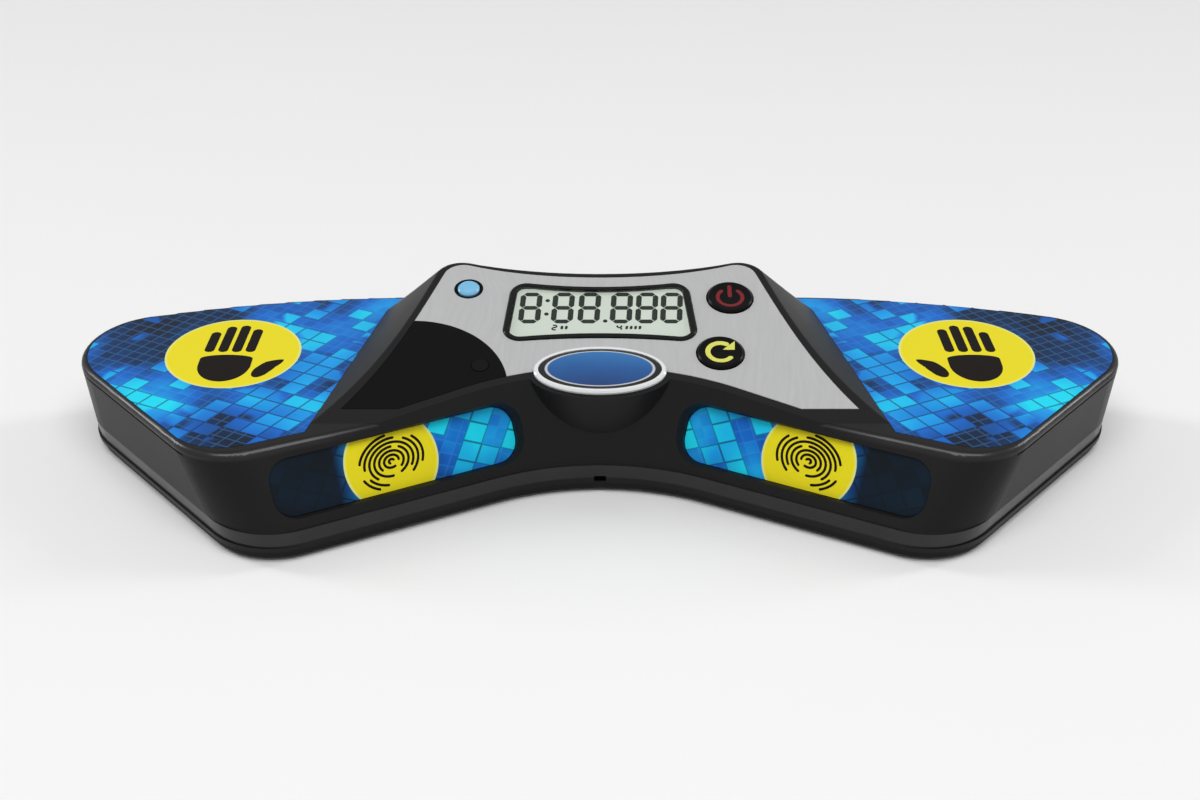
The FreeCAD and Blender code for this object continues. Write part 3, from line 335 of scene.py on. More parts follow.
def stroke(path, half, start=None, end=None):
    """A closed bar of ink along a path of (p, q) points: stations at even angles of a half turn lie
    close together at its ends, and each carries a flat four-cornered ring. An end is (length,
    power): over that length the half width grows as a circle does for 2 and as a wedge for 1."""
    path = np.asarray(path, float)
    steps = np.linalg.norm(np.diff(path, axis=0), axis=1)
    reach = np.concatenate([[0.0], np.cumsum(steps)])
    length = reach[-1]
    s = length * (1 - np.cos(np.linspace(0, math.pi, STATIONS))) / 2
    centre = np.stack([np.interp(s, reach, path[:, i]) for i in range(2)], -1)
    ahead = np.gradient(centre, s, axis=0)
    aside = np.stack([-ahead[:, 1], ahead[:, 0]], -1) / np.linalg.norm(ahead, axis=1)[:, None]
    width = np.full(STATIONS, half)
    for gone, (tip, power) in ((s, start or (half, 2)), (length - s, end or (half, 2))):
        grown = 1 - (1 - np.clip(gone / tip, 0, 1)) ** power
        width = width * np.maximum(grown ** (1 / power), BLUNT)
    corners = ((1, -INK_ROOT), (-1, -INK_ROOT), (-1, INK), (1, INK))
    return np.stack([np.column_stack([centre + aside * (width * way)[:, None],
                                      np.full(STATIONS, level)]) for way, level in corners], 1)


def arc(centre, radius, start, stop, points=40):
    """Points on a circle, or on an ellipse where the radius is a pair, from one angle in degrees to
    another."""
    turn = np.radians(np.linspace(start, stop, points))
    return np.column_stack([np.cos(turn), np.sin(turn)]) * radius + centre


def tube(rings):
    """Vertices and faces of a tube through rings of points, with both ends closed."""
    stations, around = rings.shape[:2]
    index = np.arange(stations * around).reshape(stations, around)
    here, there = index[:-1], index[1:]
    sides = np.stack([here, np.roll(here, -1, 1), np.roll(there, -1, 1), there], -1)
    ends = [index[0].tolist(), index[-1].tolist()]
    return rings.reshape(-1, 3), sides.reshape(-1, 4).tolist() + ends


def piece(name, shells, finish, body, slot, smooth=False):
    """One object from closed shells of (vertices in millimetres, faces): doubles merged, every face
    turned outwards, and its finish and body given. Its slot is not used."""
    vertices, faces = [], []
    for points, polygons in shells:
        start = sum(len(v) for v in vertices)
        vertices.append(points)
        faces += [[start + i for i in polygon] for polygon in polygons]
    mesh = bpy.data.meshes.new(name)
    mesh.from_pydata((np.concatenate(vertices) * MM).tolist(), [], faces)
    form = bmesh.new()
    form.from_mesh(mesh)
    bmesh.ops.remove_doubles(form, verts=form.verts, dist=1e-4 * MM)
    bmesh.ops.recalc_face_normals(form, faces=form.faces)
    form.to_mesh(mesh)
    form.free()
    mesh.polygons.foreach_set("use_smooth", [smooth] * len(mesh.polygons))
    made = bpy.data.objects.new(name, mesh)
    bpy.context.scene.collection.objects.link(made)
    finish.on(made)
    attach(made, body)
    return made


def inked(name, strokes, place, finish, body, slot):
    """A print of several strokes, laid on a surface by a function from (p, q, height) to the
    frame."""
    return piece(name, [tube(place(rings)) for rings in strokes], finish, body, slot)


def ink(name, colour, rough=0.42):
    """Screen ink: solid colour with the slightly mottled sheen of a pulled print."""
    finish = Finish(name, Specular_IOR_Level=0.07)
    mottle = finish.clouds(0.9, detail=3.0)
    lighter = tuple(min(1.0, c * 1.25 + 0.002) for c in colour[:3]) + (1,)
    finish.feed(Base_Color=finish.mix(mottle, colour, lighter),
                Roughness=rough - 0.08 + 0.16 * mottle)
    return finish.relief(mottle, 0.004)


def on_wing(side):
    """Lays a print on the disc of one wing, p towards the console and q to the rear."""
    def place(rings):
        p, q, level = np.moveaxis(rings, -1, 0)
        return np.stack([side * (DISC[0] - p), DISC[1] + q, WING_TOP + level], -1)
    return place


hand = [stroke([(foot, FINGER_FOOT), (foot + FINGER_LEAN * length, FINGER_FOOT + length)],
               FINGER_HALF) for foot, length in FINGERS]
hand += [stroke(PALM, PALM_HALF, *PALM_ENDS), stroke(THUMB, THUMB_HALF, *THUMB_ENDS)]
hand_ink = ink("brown_screen_ink", HAND_INK)
for side, name in ((1, "right_hand_sign"), (-1, "left_hand_sign")):
    inked(name, hand, on_wing(side), hand_ink, "root", "pad_print")


# ---- Finger pads ---------------------------------------------------------------------------------
# The same film, cut to the slots of the front faces and stuck to the bottom of their trays: bright
# tiles towards the middle, near-black ones at the outer end, and a yellow disc with a finger whorl.
SWEEP = math.radians(25.7)
LEAN = math.radians(28.0)
FACE_FOOT = (-5.95, 8.0)     # Y and Z where a face's lower line meets the middle
SLOT_DEPTH = 2.0
FINGER_DISC = (49.7, 9.2)
FINGER_DISC_R = 11.2
BRIGHT_END = 36.0
DARK_END = 64.0
SLOT_LIGHT = (0.62, 0.42)    # light at the bright end, and how much of it the dark end lacks
SLOT_CROWD = (0.62, 0.1)
DIM_TILE = (0.002, 0.006, 0.009, 1)
DIM_FROM = 58.9              # the tiles fall to this dim colour about this far along the face
DIM_BLUR = 8.0
DIM_SHARE = 0.98
RIDGE_HALF = 0.3
RIDGE_PITCH = (1.2, 0.93)
RIDGES = ((0.5, -70, 200), (1.5, -110, 205), (2.5, -30, 240), (3.5, -80, 112), (3.5, 132, 258),
          (4.5, -36, 226), (5.5, 8, 116), (5.5, 134, 238), (5.5, -66, -16), (6.5, 24, 100),
          (6.5, 148, 214), (6.5, -50, -8))    # number from the middle, and angles of its ends
WHORL_TURN = math.radians(-14)

film = Finish("printed_finger_film", Coat_Weight=0.04, Coat_Roughness=0.15,
              Specular_IOR_Level=0.15)
x, y, z = film.axes()
back = y - FACE_FOOT[0]
along = abs(x) * math.cos(SWEEP) - back * math.sin(SWEEP)
behind = abs(x) * math.sin(SWEEP) + back * math.cos(SWEEP)
up = behind * math.sin(LEAN) + (z - FACE_FOOT[1]) * math.cos(LEAN)
fade = along.past((BRIGHT_END + DARK_END) / 2, blur=DARK_END - BRIGHT_END)
billow = film.clouds(0.08, detail=1.0, rough=0.4) - 0.5
slot_light = SLOT_LIGHT[0] + BILLOW * billow - SLOT_LIGHT[1] * fade
slot_blue = tile_print(film, along, up, slot_light, SLOT_CROWD[0] - SLOT_CROWD[1] * fade)
dimmed = film.mix(DIM_SHARE * along.past(DIM_FROM, blur=DIM_BLUR), slot_blue, DIM_TILE)
film.feed(Base_Color=disc_print(film, dimmed, along, up, FINGER_DISC, FINGER_DISC_R),
          Roughness=0.3 + 0.12 * film.clouds(0.06, detail=3.0))
film.relief(film.clouds(1.4), 0.004)
film.on(cad["right_finger_pad"], cad["left_finger_pad"])


def in_slot(side):
    """Lays a print on the disc of one slot, p outwards along the face and q up it."""
    along = np.array([math.cos(SWEEP), -math.sin(SWEEP), 0])
    behind = np.array([math.sin(SWEEP), math.cos(SWEEP), 0])
    up = behind * math.sin(LEAN) + np.array([0, 0, math.cos(LEAN)])
    out = np.cross(along, up)
    foot = np.array([0, *FACE_FOOT])

    def place(rings):
        p, q, level = np.moveaxis(rings, -1, 0)[..., None]
        point = foot + (FINGER_DISC[0] + p) * along + (FINGER_DISC[1] + q) * up
        return (point + (level - SLOT_DEPTH) * out) * (side, 1, 1)
    return place


def turned(path, angle):
    """A path turned about the middle of its disc."""
    cos, sin = math.cos(angle), math.sin(angle)
    return np.asarray(path) @ np.array([[cos, sin], [-sin, cos]])


ridges = [arc((0, 0), np.multiply(RIDGE_PITCH, number), start, stop)
          for number, start, stop in RIDGES]
whorl = [stroke(turned(ridge, WHORL_TURN), RIDGE_HALF) for ridge in ridges]
for side, name in ((1, "right_finger_whorl"), (-1, "left_finger_whorl")):
    inked(name, whorl, in_slot(side), hand_ink, "root", "finger_print")


# ---- Console faceplate ---------------------------------------------------------------------------
# A silver-grey printed film let into the tilted console top, with a faint brushed swirl in the
# silver, a bare black round field at its left and a dark ring about the mode button.
TILT = math.radians(13.0)
CONSOLE_TOP = 28.6
SILVER = (0.43, 0.433, 0.44, 1)
SILVER_LIGHT = (0.51, 0.51, 0.513, 1)
STREAKS = (1.1, 0.10)        # streaks of the brushing in a millimetre, across and along
SWIRL = (14.4, 1.8)          # and how far the swirl shifts them
FIELD_CENTRE = (-44.6, -9.5)
FIELD_R = 23.4
MODE = (-32.0, 25.4)
MODE_RING_R = 3.55
PRINT_EDGE = 0.1
PRINT_BLACK = (0.003, 0.003, 0.0031, 1)


def up_console(y, z):
    """How far up the console's slope a point lies."""
    return y * math.cos(TILT) + (z - CONSOLE_TOP) * math.sin(TILT)


plate = Finish("silver_film", Specular_IOR_Level=0.07)
x, y, z = plate.axes()
v = up_console(y, z)
swirl = plate.clouds(0.03)
brushing = plate.vector(STREAKS[0] * x + SWIRL[0] * swirl, STREAKS[1] * v + SWIRL[1] * swirl)
streaks = plate.clouds(1.0, detail=3.0, where=brushing)
black = plate.maths("MAXIMUM",
                    1 - distance(x, v, FIELD_CENTRE).past(FIELD_R, blur=PRINT_EDGE),
                    1 - distance(x, v, MODE).past(MODE_RING_R, blur=PRINT_EDGE))
silver = plate.mix(streaks, SILVER, SILVER_LIGHT)
plate.feed(Base_Color=plate.mix(black, silver, PRINT_BLACK), Roughness=0.42 + 0.1 * streaks)
plate.relief(plate.clouds(1.2), 0.003)
plate.on(cad["console_faceplate"])


def on_console(centre=(0, 0), height=lambda p, q: 0.0):
    """Lays a print on the console top about a centre, p to the right and q up the slope."""
    def place(rings):
        p, q, level = np.moveaxis(rings, -1, 0)
        w = level + height(p, q)
        v = q + centre[1]
        return np.stack([p + centre[0], v * math.cos(TILT) - w * math.sin(TILT),
                         CONSOLE_TOP + v * math.sin(TILT) + w * math.cos(TILT)], -1)
    return place


# ---- Display -------------------------------------------------------------------------------------
# A reflective liquid-crystal glass behind a thin clear window in a glossy black bezel. A pale green
# film fills the window, and its dark segments show a full row of figures, with two small figures
# and pad marks below.
BEZEL_BLACKS = ((0.004, 0.004, 0.004, 1), (0.007, 0.007, 0.0075, 1))
WINDOW_TINT = (0.7, 0.75, 0.7, 1)
FILM_GREENS = ((0.58, 0.64, 0.56, 1), (0.64, 0.70, 0.62, 1))
HOLDER_WHITES = ((0.62, 0.62, 0.60, 1), (0.68, 0.68, 0.66, 1))
STRIP_LAYERS = ((0.25, 0.25, 0.26, 1), (0.02, 0.02, 0.02, 1))
LAYER_PITCH = 0.5
SEGMENT_INK = (0.010, 0.016, 0.012, 1)
FILM_LEVELS = (-0.63, -0.57)     # the film lies on the ledge that carries the window
FILM_TOP = (19.9, 26.4, 2.0)     # half length of its upper edge, place of its ends, and bow
FILM_LOW = (21.8, 7.8, 1.6)
FILM_CORNER = 2.5
SEGMENT_HALF = 0.66
SEGMENT_GAP = 0.12
FIGURE = (4.0, 9.7)              # between the middles of outer segments, across and up
FIGURE_SLANT = math.tan(math.radians(3))
FIGURE_ROW = 19.1
FIGURE_PLACES = (-16.8, -8.95, -2.55, 5.2, 11.3, 17.3)
DOTS = ((-12.7, 21.7), (-12.9, 16.9), (1.25, 14.4))      # the colon and the point
DOT_HALF = 0.55
SMALL_FIGURE = (0.95, 1.6)
SMALL_HALF = 0.22
SMALL_ROW = 12.1
SMALL_MARKS = ((-10.9, "abged", 2), (4.6, "fgbc", 4))    # place, lit segments, and marks after it
MARK_START = 1.7
MARK_PITCH = 1.05
MARK_RISE = 0.6
MARK_LEAN = 0.2
MARK_HALF = 0.32

bezel = moulded("glossy_black_bezel", BEZEL_BLACKS, rough=0.26, grain=0.003,
                Specular_IOR_Level=SATIN)
bezel.on(cad["lcd_bezel"])
window = Finish("clear_window", Base_Color=WINDOW_TINT, Alpha=0.03)
window.feed(Roughness=0.05 + 0.04 * window.clouds(0.2)).on(cad["lcd_window"])
glass = Finish("display_film", Specular_IOR_Level=0.3)
paleness = glass.clouds(0.03)
glass.feed(Base_Color=glass.mix(paleness, *FILM_GREENS), Roughness=0.3 + 0.1 * paleness)
glass.on(cad["lcd_panel"])
holder = moulded("white_abs", HOLDER_WHITES, rough=0.45)
holder.on(cad["lcd_holder"])
contact_strip = Finish("layered_rubber", Roughness=0.7)
x, y, z = contact_strip.axes()
layers = abs(contact_strip.maths("FRACT", x / LAYER_PITCH) - 0.5).past(0.25, blur=0.1)
contact_strip.feed(Base_Color=contact_strip.mix(layers, *STRIP_LAYERS))
contact_strip.relief(layers, 0.02).on(cad["lcd_connector"])


def film_outline(points=128):
    """Outline of the film: a rectangle with round corners, which are circles about the corners of a
    smaller rectangle. It is widened evenly towards its foot, and its upper and lower edges are
    bowed as a parabola."""
    turn = np.linspace(0, 2 * math.pi, points, endpoint=False)
    half = np.array([FILM_LOW[0], (FILM_TOP[1] - FILM_LOW[1]) / 2])
    around = np.stack([np.cos(turn), np.sin(turn)], -1)
    p, rise = (np.sign(around) * (half - FILM_CORNER) + FILM_CORNER * around).T
    up = (1 + rise / half[1]) / 2
    p = p * (1 + (FILM_TOP[0] / FILM_LOW[0] - 1) * up)
    low, top = [place - way * bow * (1 - (p / reach) ** 2)
                for way, (reach, place, bow) in ((-1, FILM_LOW), (1, FILM_TOP))]
    return np.stack([p, low + (top - low) * up], -1)


outline = film_outline()
film_rings = np.stack([np.column_stack([outline, np.full(len(outline), level)])
                       for level in FILM_LEVELS])
piece("display_film", [tube(on_console()(film_rings))], glass, "root", "lcd")


def segments(size, half, lit="abcdefg"):
    """The lit bars of a figure, as paths about its middle, shortened so that they don't touch."""
    w, h = size[0] / 2, size[1] / 2
    ends = {"a": ((-w, h), (w, h)), "b": ((w, h), (w, 0)), "c": ((w, 0), (w, -h)),
            "d": ((-w, -h), (w, -h)), "e": ((-w, 0), (-w, -h)), "f": ((-w, h), (-w, 0)),
            "g": ((-w, 0), (w, 0))}
    bars = []
    for bar in lit:
        low, high = (np.array(end) for end in ends[bar])
        step = (high - low) / np.linalg.norm(high - low) * half * SEGMENT_GAP / SEGMENT_HALF
        path = np.linspace(low + step, high - step, 8)
        bars.append(path + np.column_stack([path[:, 1] * FIGURE_SLANT, np.zeros(8)]))
    return bars


pointed = (SEGMENT_HALF, 1)
figures = [stroke(bar + (place, FIGURE_ROW), SEGMENT_HALF, pointed, pointed)
           for place in FIGURE_PLACES for bar in segments(FIGURE, SEGMENT_HALF)]
figures += [stroke([(p - DOT_HALF, q), (p + DOT_HALF, q)], DOT_HALF) for p, q in DOTS]
for place, lit, count in SMALL_MARKS:
    for bar in segments(SMALL_FIGURE, SMALL_HALF, lit):
        figures.append(stroke(bar + (place, SMALL_ROW), SMALL_HALF))
    for i in range(count):
        mark = place + MARK_START + i * MARK_PITCH
        ends = ((mark, SMALL_ROW - MARK_RISE), (mark + MARK_LEAN, SMALL_ROW + MARK_RISE))
        figures.append(stroke(ends, MARK_HALF))
inked("display_figures", figures, on_console(height=lambda p, q: FILM_LEVELS[1]),
      ink("liquid_crystal_black", SEGMENT_INK, rough=0.35), "root", "lcd")


# ---- Badge ---------------------------------------------------------------------------------------
# An oval badge glued on its boss: a glossy white moulded rim, and in it a low dome of clear resin
# over a plain print, blue with a thin silver line and a black band round it.
RIM_WHITES = ((0.74, 0.75, 0.76, 1), (0.79, 0.80, 0.81, 1))
BADGE_BLUES = ((0.0, (0.008, 0.03, 0.12)), (0.5, (0.012, 0.09, 0.30)), (1.0, (0.03, 0.20, 0.48)))
LINE_SILVER = (0.55, 0.57, 0.60, 1)
BAND_BLACK = (0.006, 0.006, 0.007, 1)
BADGE_V = -3.5
BADGE_FADE = 0.06            # the blue grows lighter up the slope by this in a millimetre
BADGE_CLOUDS = 0.3           # and clouds change it by this
DOME_HALF = (14.25, 6.55)
DOME_EDGE = 0.7
DOME_RISE = 0.5
DOME_RINGS = 24
DOME_SIDES = 96
LINE_FROM = 0.86             # shares of the oval where the silver line and the black band begin
BAND_FROM = 0.90

white_rim = moulded("glossy_white_rim", RIM_WHITES, rough=0.16, grain=0.002, Coat_Weight=0.4,
                    Coat_Roughness=0.06)
white_rim.on(cad["badge_rim"])


def dome(half, edge, rise):
    """Oval dome: a profile of (share of the oval, height) carried round it. The height falls from
    the middle to the edge as the root of 1 - share squared, and the foot is flat."""
    share = np.sin(np.linspace(0, math.pi / 2, DOME_RINGS))
    top = edge + rise * np.sqrt(1 - share ** 2)
    share = np.concatenate([[0.0, 1.0], share[::-1]])[:, None]
    level = np.concatenate([[0.0, 0.0], top[::-1]])[:, None]
    turn = np.linspace(0, 2 * math.pi, DOME_SIDES, endpoint=False)
    return np.stack([share * np.cos(turn) * half[0], share * np.sin(turn) * half[1],
                     np.broadcast_to(level, (len(share), DOME_SIDES))], -1)


resin = Finish("domed_badge_print", Coat_Weight=0.5, Coat_Roughness=0.05, Specular_IOR_Level=0.2)
x, y, z = resin.axes()
q = up_console(y, z) - BADGE_V
sky = 0.5 + BADGE_FADE * q + BADGE_CLOUDS * (resin.clouds(0.09) - 0.5)
share = distance(x / DOME_HALF[0], q / DOME_HALF[1], (0, 0))
lined = resin.mix(share.past(LINE_FROM, blur=0.02), resin.ramp(sky, *BADGE_BLUES), LINE_SILVER)
banded = resin.mix(share.past(BAND_FROM, blur=0.02), lined, BAND_BLACK)
resin.feed(Base_Color=banded, Roughness=0.3 + 0.1 * resin.clouds(0.3))
badge_rings = on_console((0, BADGE_V))(dome(DOME_HALF, DOME_EDGE, DOME_RISE))
badge_dome = piece("badge_dome", [tube(badge_rings)], resin, "root", "badge_face", smooth=True)
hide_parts("badge_face")


# ---- Push buttons --------------------------------------------------------------------------------
# Glossy caps that slide in the console top on their tact switches. Power and reset are black with a
# printed sign in the dish of the cap; the small mode button is plain light blue.
CAP_BLACKS = ((0.002, 0.002, 0.002, 1), (0.004, 0.004, 0.0042, 1))
CAP_BLUES = ((0.17, 0.47, 0.74, 1), (0.22, 0.53, 0.79, 1))
PLUNGER_IVORIES = ((0.52, 0.50, 0.43, 1), (0.58, 0.56, 0.49, 1))
NYLON_BLACKS = ((0.018, 0.018, 0.018, 1), (0.028, 0.028, 0.028, 1))
CAP_PROUD = 0.6
CAP_DISH = 0.25
CAP_REACH = 4.7
DISH_R = (CAP_REACH ** 2 + CAP_DISH ** 2) / (2 * CAP_DISH)
POWER = (31.5, 22.1)
POWER_RED = (0.17, 0.020, 0.026, 1)
POWER_RING = ((0, -0.3), 3.0, 122, 418)      # centre, radius, and angles of the ends
POWER_RING_HALF = 0.46
POWER_BAR = ((0, -0.2), (0, 4.0))
POWER_BAR_HALF = 0.5
RESET = (28.3, 2.6)
RESET_YELLOW = (0.61, 0.61, 0.12, 1)
RESET_RING = ((0, 0), 3.0, 48, 330)
RESET_RING_HALF = 0.6
ARROW = ((2.0, 2.2), (3.35, 0.7))            # middle of its foot, and its tip
ARROW_HALF = 2.0
ARROW_ENDS = ((0.05, 2), (ARROW_HALF, 1))

black_cap = moulded("glossy_black_cap", CAP_BLACKS, rough=0.3, grain=0.004, Specular_IOR_Level=0.1)
black_cap.on(cad["power_button"], cad["reset_button"])
blue_cap = moulded("glossy_blue_cap", CAP_BLUES, rough=0.24, grain=0.004)
blue_cap.on(cad["mode_button"])
plunger = moulded("ivory_nylon", PLUNGER_IVORIES, rough=0.5)
switch_case = moulded("black_nylon", NYLON_BLACKS, rough=0.55)
for button in ("power", "reset", "mode"):
    plunger.on(cad[button + "_plunger"])
    switch_case.on(cad[button + "_switch"])


def dish(p, q):
    """Height of the cap's dish: a sphere that reaches the cap's top at the edge of the dish."""
    return CAP_PROUD - CAP_DISH + DISH_R - np.sqrt(DISH_R ** 2 - p ** 2 - q ** 2)


power_sign = [stroke(arc(*POWER_RING), POWER_RING_HALF), stroke(POWER_BAR, POWER_BAR_HALF)]
inked("power_sign", power_sign, on_console(POWER, dish), ink("red_cap_ink", POWER_RED, rough=0.3),
      "power_button", "button_black")
reset_sign = [stroke(arc(*RESET_RING), RESET_RING_HALF),
              stroke(np.linspace(*ARROW, 12), ARROW_HALF, *ARROW_ENDS)]
inked("reset_sign", reset_sign, on_console(RESET, dish),
      ink("yellow_cap_ink", RESET_YELLOW, rough=0.3), "reset_button", "button_black")


# ---- Status lamp ---------------------------------------------------------------------------------
# A smoked acrylic lens, pressed flush into the console top, with a red lamp under it that is
# soldered to the board.
LENS_BLACKS = ((0.004, 0.004, 0.005, 1), (0.006, 0.006, 0.007, 1))
LAMP_REDS = ((0.40, 0.02, 0.015, 1), (0.5, 0.04, 0.03, 1))

lens = moulded("smoked_lens", LENS_BLACKS, rough=0.14, grain=0.002, Specular_IOR_Level=0.1)
lens.on(cad["led_lens"])
lamp_resin = moulded("red_lamp_resin", LAMP_REDS, rough=0.2, grain=0.002, Coat_Weight=0.5)
lamp_resin.on(cad["status_led"])


# ---- Circuit boards ------------------------------------------------------------------------------
# Green glass-fibre laminate with copper tracks under the solder mask, a moulded controller chip, a
# nickel crystal can and zinc-plated screws into the console posts. The other screws have the same
# zinc, and the battery springs and contacts the same nickel.
MASK_GREENS = ((0.008, 0.085, 0.030, 1), (0.02, 0.16, 0.055, 1))     # over bare board and a track
TRACK_PITCH = 1.9
CHIP_BLACKS = ((0.012, 0.012, 0.013, 1), (0.02, 0.02, 0.021, 1))
ZINC = ((0.60, 0.61, 0.62, 1), (0.42, 0.43, 0.45, 1))
NICKEL = ((0.62, 0.59, 0.54, 1), (0.50, 0.47, 0.42, 1))

laminate = Finish("green_laminate")
x, y, z = laminate.axes()
tracks = [abs(laminate.maths("FRACT", axis / TRACK_PITCH) - 0.5).past(0.4, blur=0.04)
          for axis in (x, y)]
patch = laminate.clouds(0.06, detail=1.0).past(0.5, blur=0.02)
track = patch * tracks[0] + (1 - patch) * tracks[1]
laminate.feed(Base_Color=laminate.mix(track, *MASK_GREENS),
              Roughness=0.35 + 0.1 * laminate.clouds(0.4))
laminate.relief(track, 0.03).on(cad["main_board"], cad["jack_board"])
epoxy = moulded("black_epoxy", CHIP_BLACKS, rough=0.6, grain=0.01)
epoxy.on(cad["controller_chip"])


def plated(name, colours, rough):
    """Metal in two colours, bright and dull, with fine handling marks and a little dulling in
    patches."""
    finish = Finish(name, Metallic=1.0)
    scuff = finish.clouds(0.8, detail=4.0, rough=0.65)
    finish.feed(Base_Color=finish.mix(scuff, *colours), Roughness=rough - 0.06 + 0.18 * scuff)
    return finish.relief(scuff, 0.006)


zinc = plated("zinc_plating", ZINC, rough=0.32)
zinc.on(cad["board_screws"], cad["housing_screws"], cad["cover_screw"])
nickel = plated("nickel_plating", NICKEL, rough=0.25)
nickel.on(cad["clock_crystal"], cad["battery_springs"], cad["battery_contacts"])


# ---- Touch foils ---------------------------------------------------------------------------------
# Thin copper foil, cut to the shape of each hand and finger pad and glued behind it, where it
# senses the skin through the plastic.
COPPER = ((0.62, 0.26, 0.12, 1), (0.45, 0.20, 0.11, 1))

foil = plated("copper_foil", COPPER, rough=0.35)
for side in ("right", "left"):
    foil.on(cad[side + "_touch_plate"], cad[side + "_finger_plate"])


# ---- Sounder and data jack -----------------------------------------------------------------------
# A small black sounder in its seat on the base, and a black nylon jack whose nose comes through the
# rear wall.
switch_case.on(cad["sounder"], cad["data_jack"])


# ---- Batteries -----------------------------------------------------------------------------------
# Two cells side by side in the bay, one each way round. Each is a steel can in a shrunk plastic
# sleeve: dark grey, copper-coloured at the button end, and bare at the tips.
CELL_LENGTH = 44.5
SLEEVE_GREY = (0.018, 0.020, 0.024, 1)
SLEEVE_COPPER = (0.45, 0.19, 0.08, 1)
CAN_STEEL = (0.6, 0.6, 0.6, 1)
SLEEVE_END = 0.76            # share of the length where the sleeve turns copper-coloured
SLEEVED = (0.012, 0.972)     # shares between which the can is covered

for name, way in (("front_battery", 1), ("rear_battery", -1)):
    low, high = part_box(name)
    sleeve = Finish(name + "_sleeve", Coat_Weight=0.5, Coat_Roughness=0.1)
    x, y, z = sleeve.axes()
    middle = (low[0] + high[0]) / 2 / MM
    share = (x - middle) * way / CELL_LENGTH + 0.5
    copper = share.past(SLEEVE_END, blur=0.01)
    bare = sleeve.maths("MAXIMUM", share.past(SLEEVED[1], blur=0.004),
                        1 - share.past(SLEEVED[0], blur=0.004))
    colour = sleeve.mix(copper, SLEEVE_GREY, SLEEVE_COPPER)
    sleeve.feed(Base_Color=sleeve.mix(bare, colour, CAN_STEEL),
                Metallic=sleeve.maths("MAXIMUM", 0.6 * copper, bare),
                Roughness=0.3 + 0.1 * sleeve.clouds(0.3, detail=3.0))
    sleeve.relief(sleeve.clouds(0.5), 0.01).on(cad[name])


# ---- Feet and screw heads ------------------------------------------------------------------------
# Six soft black rubber feet glued in their seats, and a painted shade in the shape of a cross
# recess on the head of each of the six housing screws.
FOOT_BLACKS = ((0.016, 0.016, 0.016, 1), (0.026, 0.025, 0.025, 1))
# dark grey of the painted shade that stands for the screws' cross recesses
RECESS_PAINTED_SHADE = (0.03, 0.03, 0.032, 1)
CROSS_HALF = 0.28
CROSS_REACH = 1.5
HEAD_BOTTOM = 2.4
SCREWS = ((100.0, -2.0), (74.0, -22.0), (62.0, 28.0))

rubber = moulded("black_rubber", FOOT_BLACKS, rough=0.75, grain=0.03)
rubber.on(cad["rubber_feet"])


def under_head(screw, side):
    """Lays a painted shade on the underside of one screw head."""
    def place(rings):
        p, q, level = np.moveaxis(rings, -1, 0)
        return np.stack([side * screw[0] + p, screw[1] + q, HEAD_BOTTOM - level], -1)
    return place


# each screw's cross recess is a flat dark painted shade, not a hollow
cross = [stroke(np.linspace(np.negative(tip), tip, 6), CROSS_HALF)
         for tip in ((CROSS_REACH, 0), (0, CROSS_REACH))]
painted_recess_shades = [tube(under_head(screw, side)(bar)) for screw in SCREWS for side in (1, -1)
            for bar in cross]
piece("painted_screw_recess_shade", painted_recess_shades, ink("recess_shadow", RECESS_PAINTED_SHADE, rough=0.5), "root",
      "bright_steel")


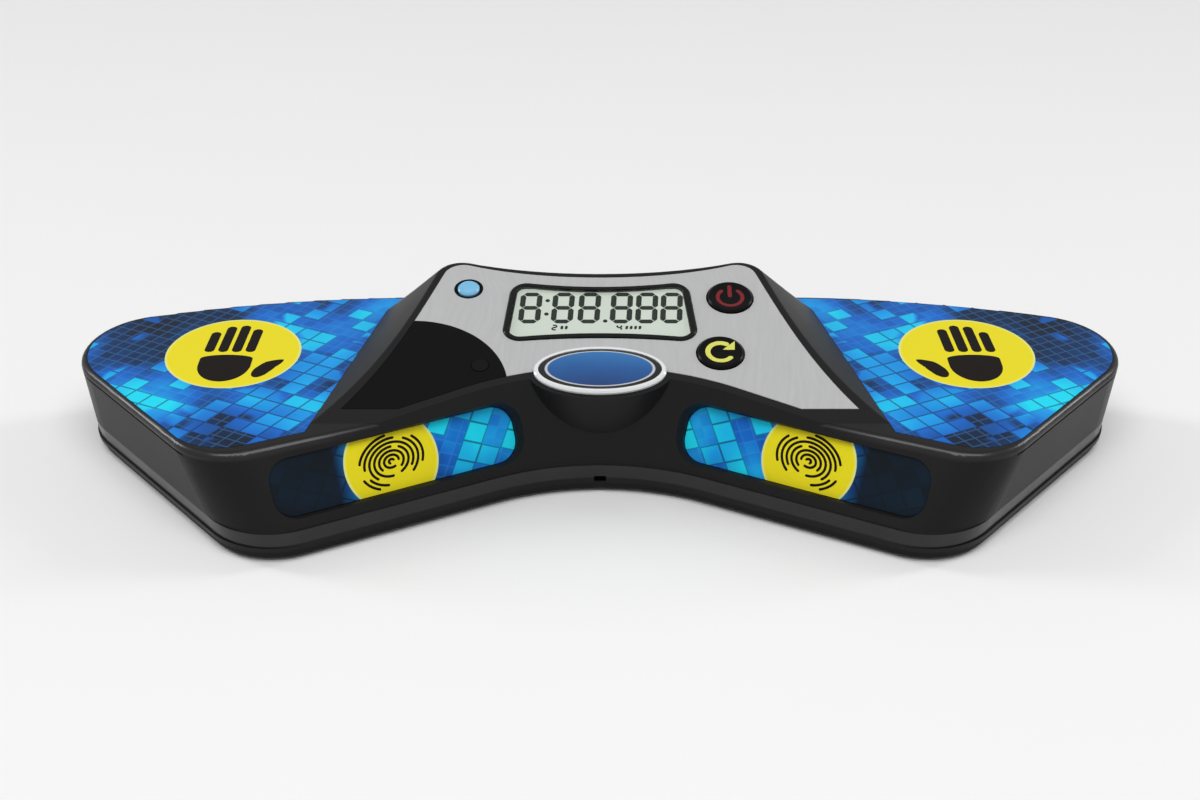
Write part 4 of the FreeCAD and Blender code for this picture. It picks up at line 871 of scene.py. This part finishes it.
# ---- Stage ---------------------------------------------------------------------------------------
# A pale paper floor under a soft box overhead and a strip light on each side, in a dim even room.
# The camera stands in front of the timer and looks down on it by 32 degrees.
CAMERA_PLACE = (0, -360.2 * MM, 242.9 * MM)
CAMERA_PITCH = math.radians(58)
CAMERA_LENS = 53.76
LAMPS = (("overhead", (0, -0.35, 0.95), (0.9, 0.5), 6.0),            # place and size in metres,
         ("left_strip", (-1.25, 0.45, 0.72), (0.25, 0.75), 6.0),     # and power in watts
         ("right_strip", (1.25, 0.45, 0.72), (0.25, 0.75), 5.2))
FLOOR_HALF = 3.0
FLOOR_WHITES = ((0.88, 0.88, 0.88, 1), (0.90, 0.90, 0.90, 1))
ROOM_WHITE = (1, 1, 1, 1)
ROOM_LIGHT = 0.32            # strength of the world for the light that it gives
BACKGROUND = 0.6             # and where it is seen, straight or in a reflection

scene = bpy.context.scene
scene.view_settings.view_transform = "Standard"
lens_data = bpy.data.cameras.new("camera")
lens_data.lens = CAMERA_LENS
camera = bpy.data.objects.new("camera", lens_data)
camera.location = CAMERA_PLACE
camera.rotation_euler = (CAMERA_PITCH, 0, 0)
scene.collection.objects.link(camera)
scene.camera = camera

for name, place, size, power in LAMPS:
    soft_box = bpy.data.lights.new(name, "AREA")
    soft_box.shape = "RECTANGLE"
    soft_box.size, soft_box.size_y = size
    soft_box.energy = power
    lamp = bpy.data.objects.new(name, soft_box)
    lamp.location = place
    lamp.rotation_euler = (-Vector(place)).to_track_quat("-Z", "Y").to_euler()
    scene.collection.objects.link(lamp)

corners = [(side * FLOOR_HALF, way * FLOOR_HALF, 0)
           for side, way in ((-1, -1), (1, -1), (1, 1), (-1, 1))]
floor_mesh = bpy.data.meshes.new("floor")
floor_mesh.from_pydata(corners, [], [(0, 1, 2, 3)])
floor = bpy.data.objects.new("floor", floor_mesh)
scene.collection.objects.link(floor)
paper = Finish("pale_paper", Roughness=0.9)
paper.feed(Base_Color=paper.mix(paper.clouds(0.01), *FLOOR_WHITES)).on(floor)

world = bpy.data.worlds.new("studio")
scene.world = world
world.use_nodes = True
tree = world.node_tree
rays = tree.nodes.new("ShaderNodeLightPath")
seen = rays.outputs["Is Camera Ray"]
for also in ("Is Glossy Ray", "Is Transmission Ray"):
    either = tree.nodes.new("ShaderNodeMath")
    either.operation = "MAXIMUM"
    tree.links.new(seen, either.inputs[0])
    tree.links.new(rays.outputs[also], either.inputs[1])
    seen = either.outputs[0]
strength = tree.nodes.new("ShaderNodeMapRange")
strength.inputs["To Min"].default_value = ROOM_LIGHT
strength.inputs["To Max"].default_value = BACKGROUND
tree.links.new(seen, strength.inputs["Value"])
tree.links.new(strength.outputs[0], tree.nodes["Background"].inputs["Strength"])
tree.nodes["Background"].inputs["Color"].default_value = ROOM_WHITE
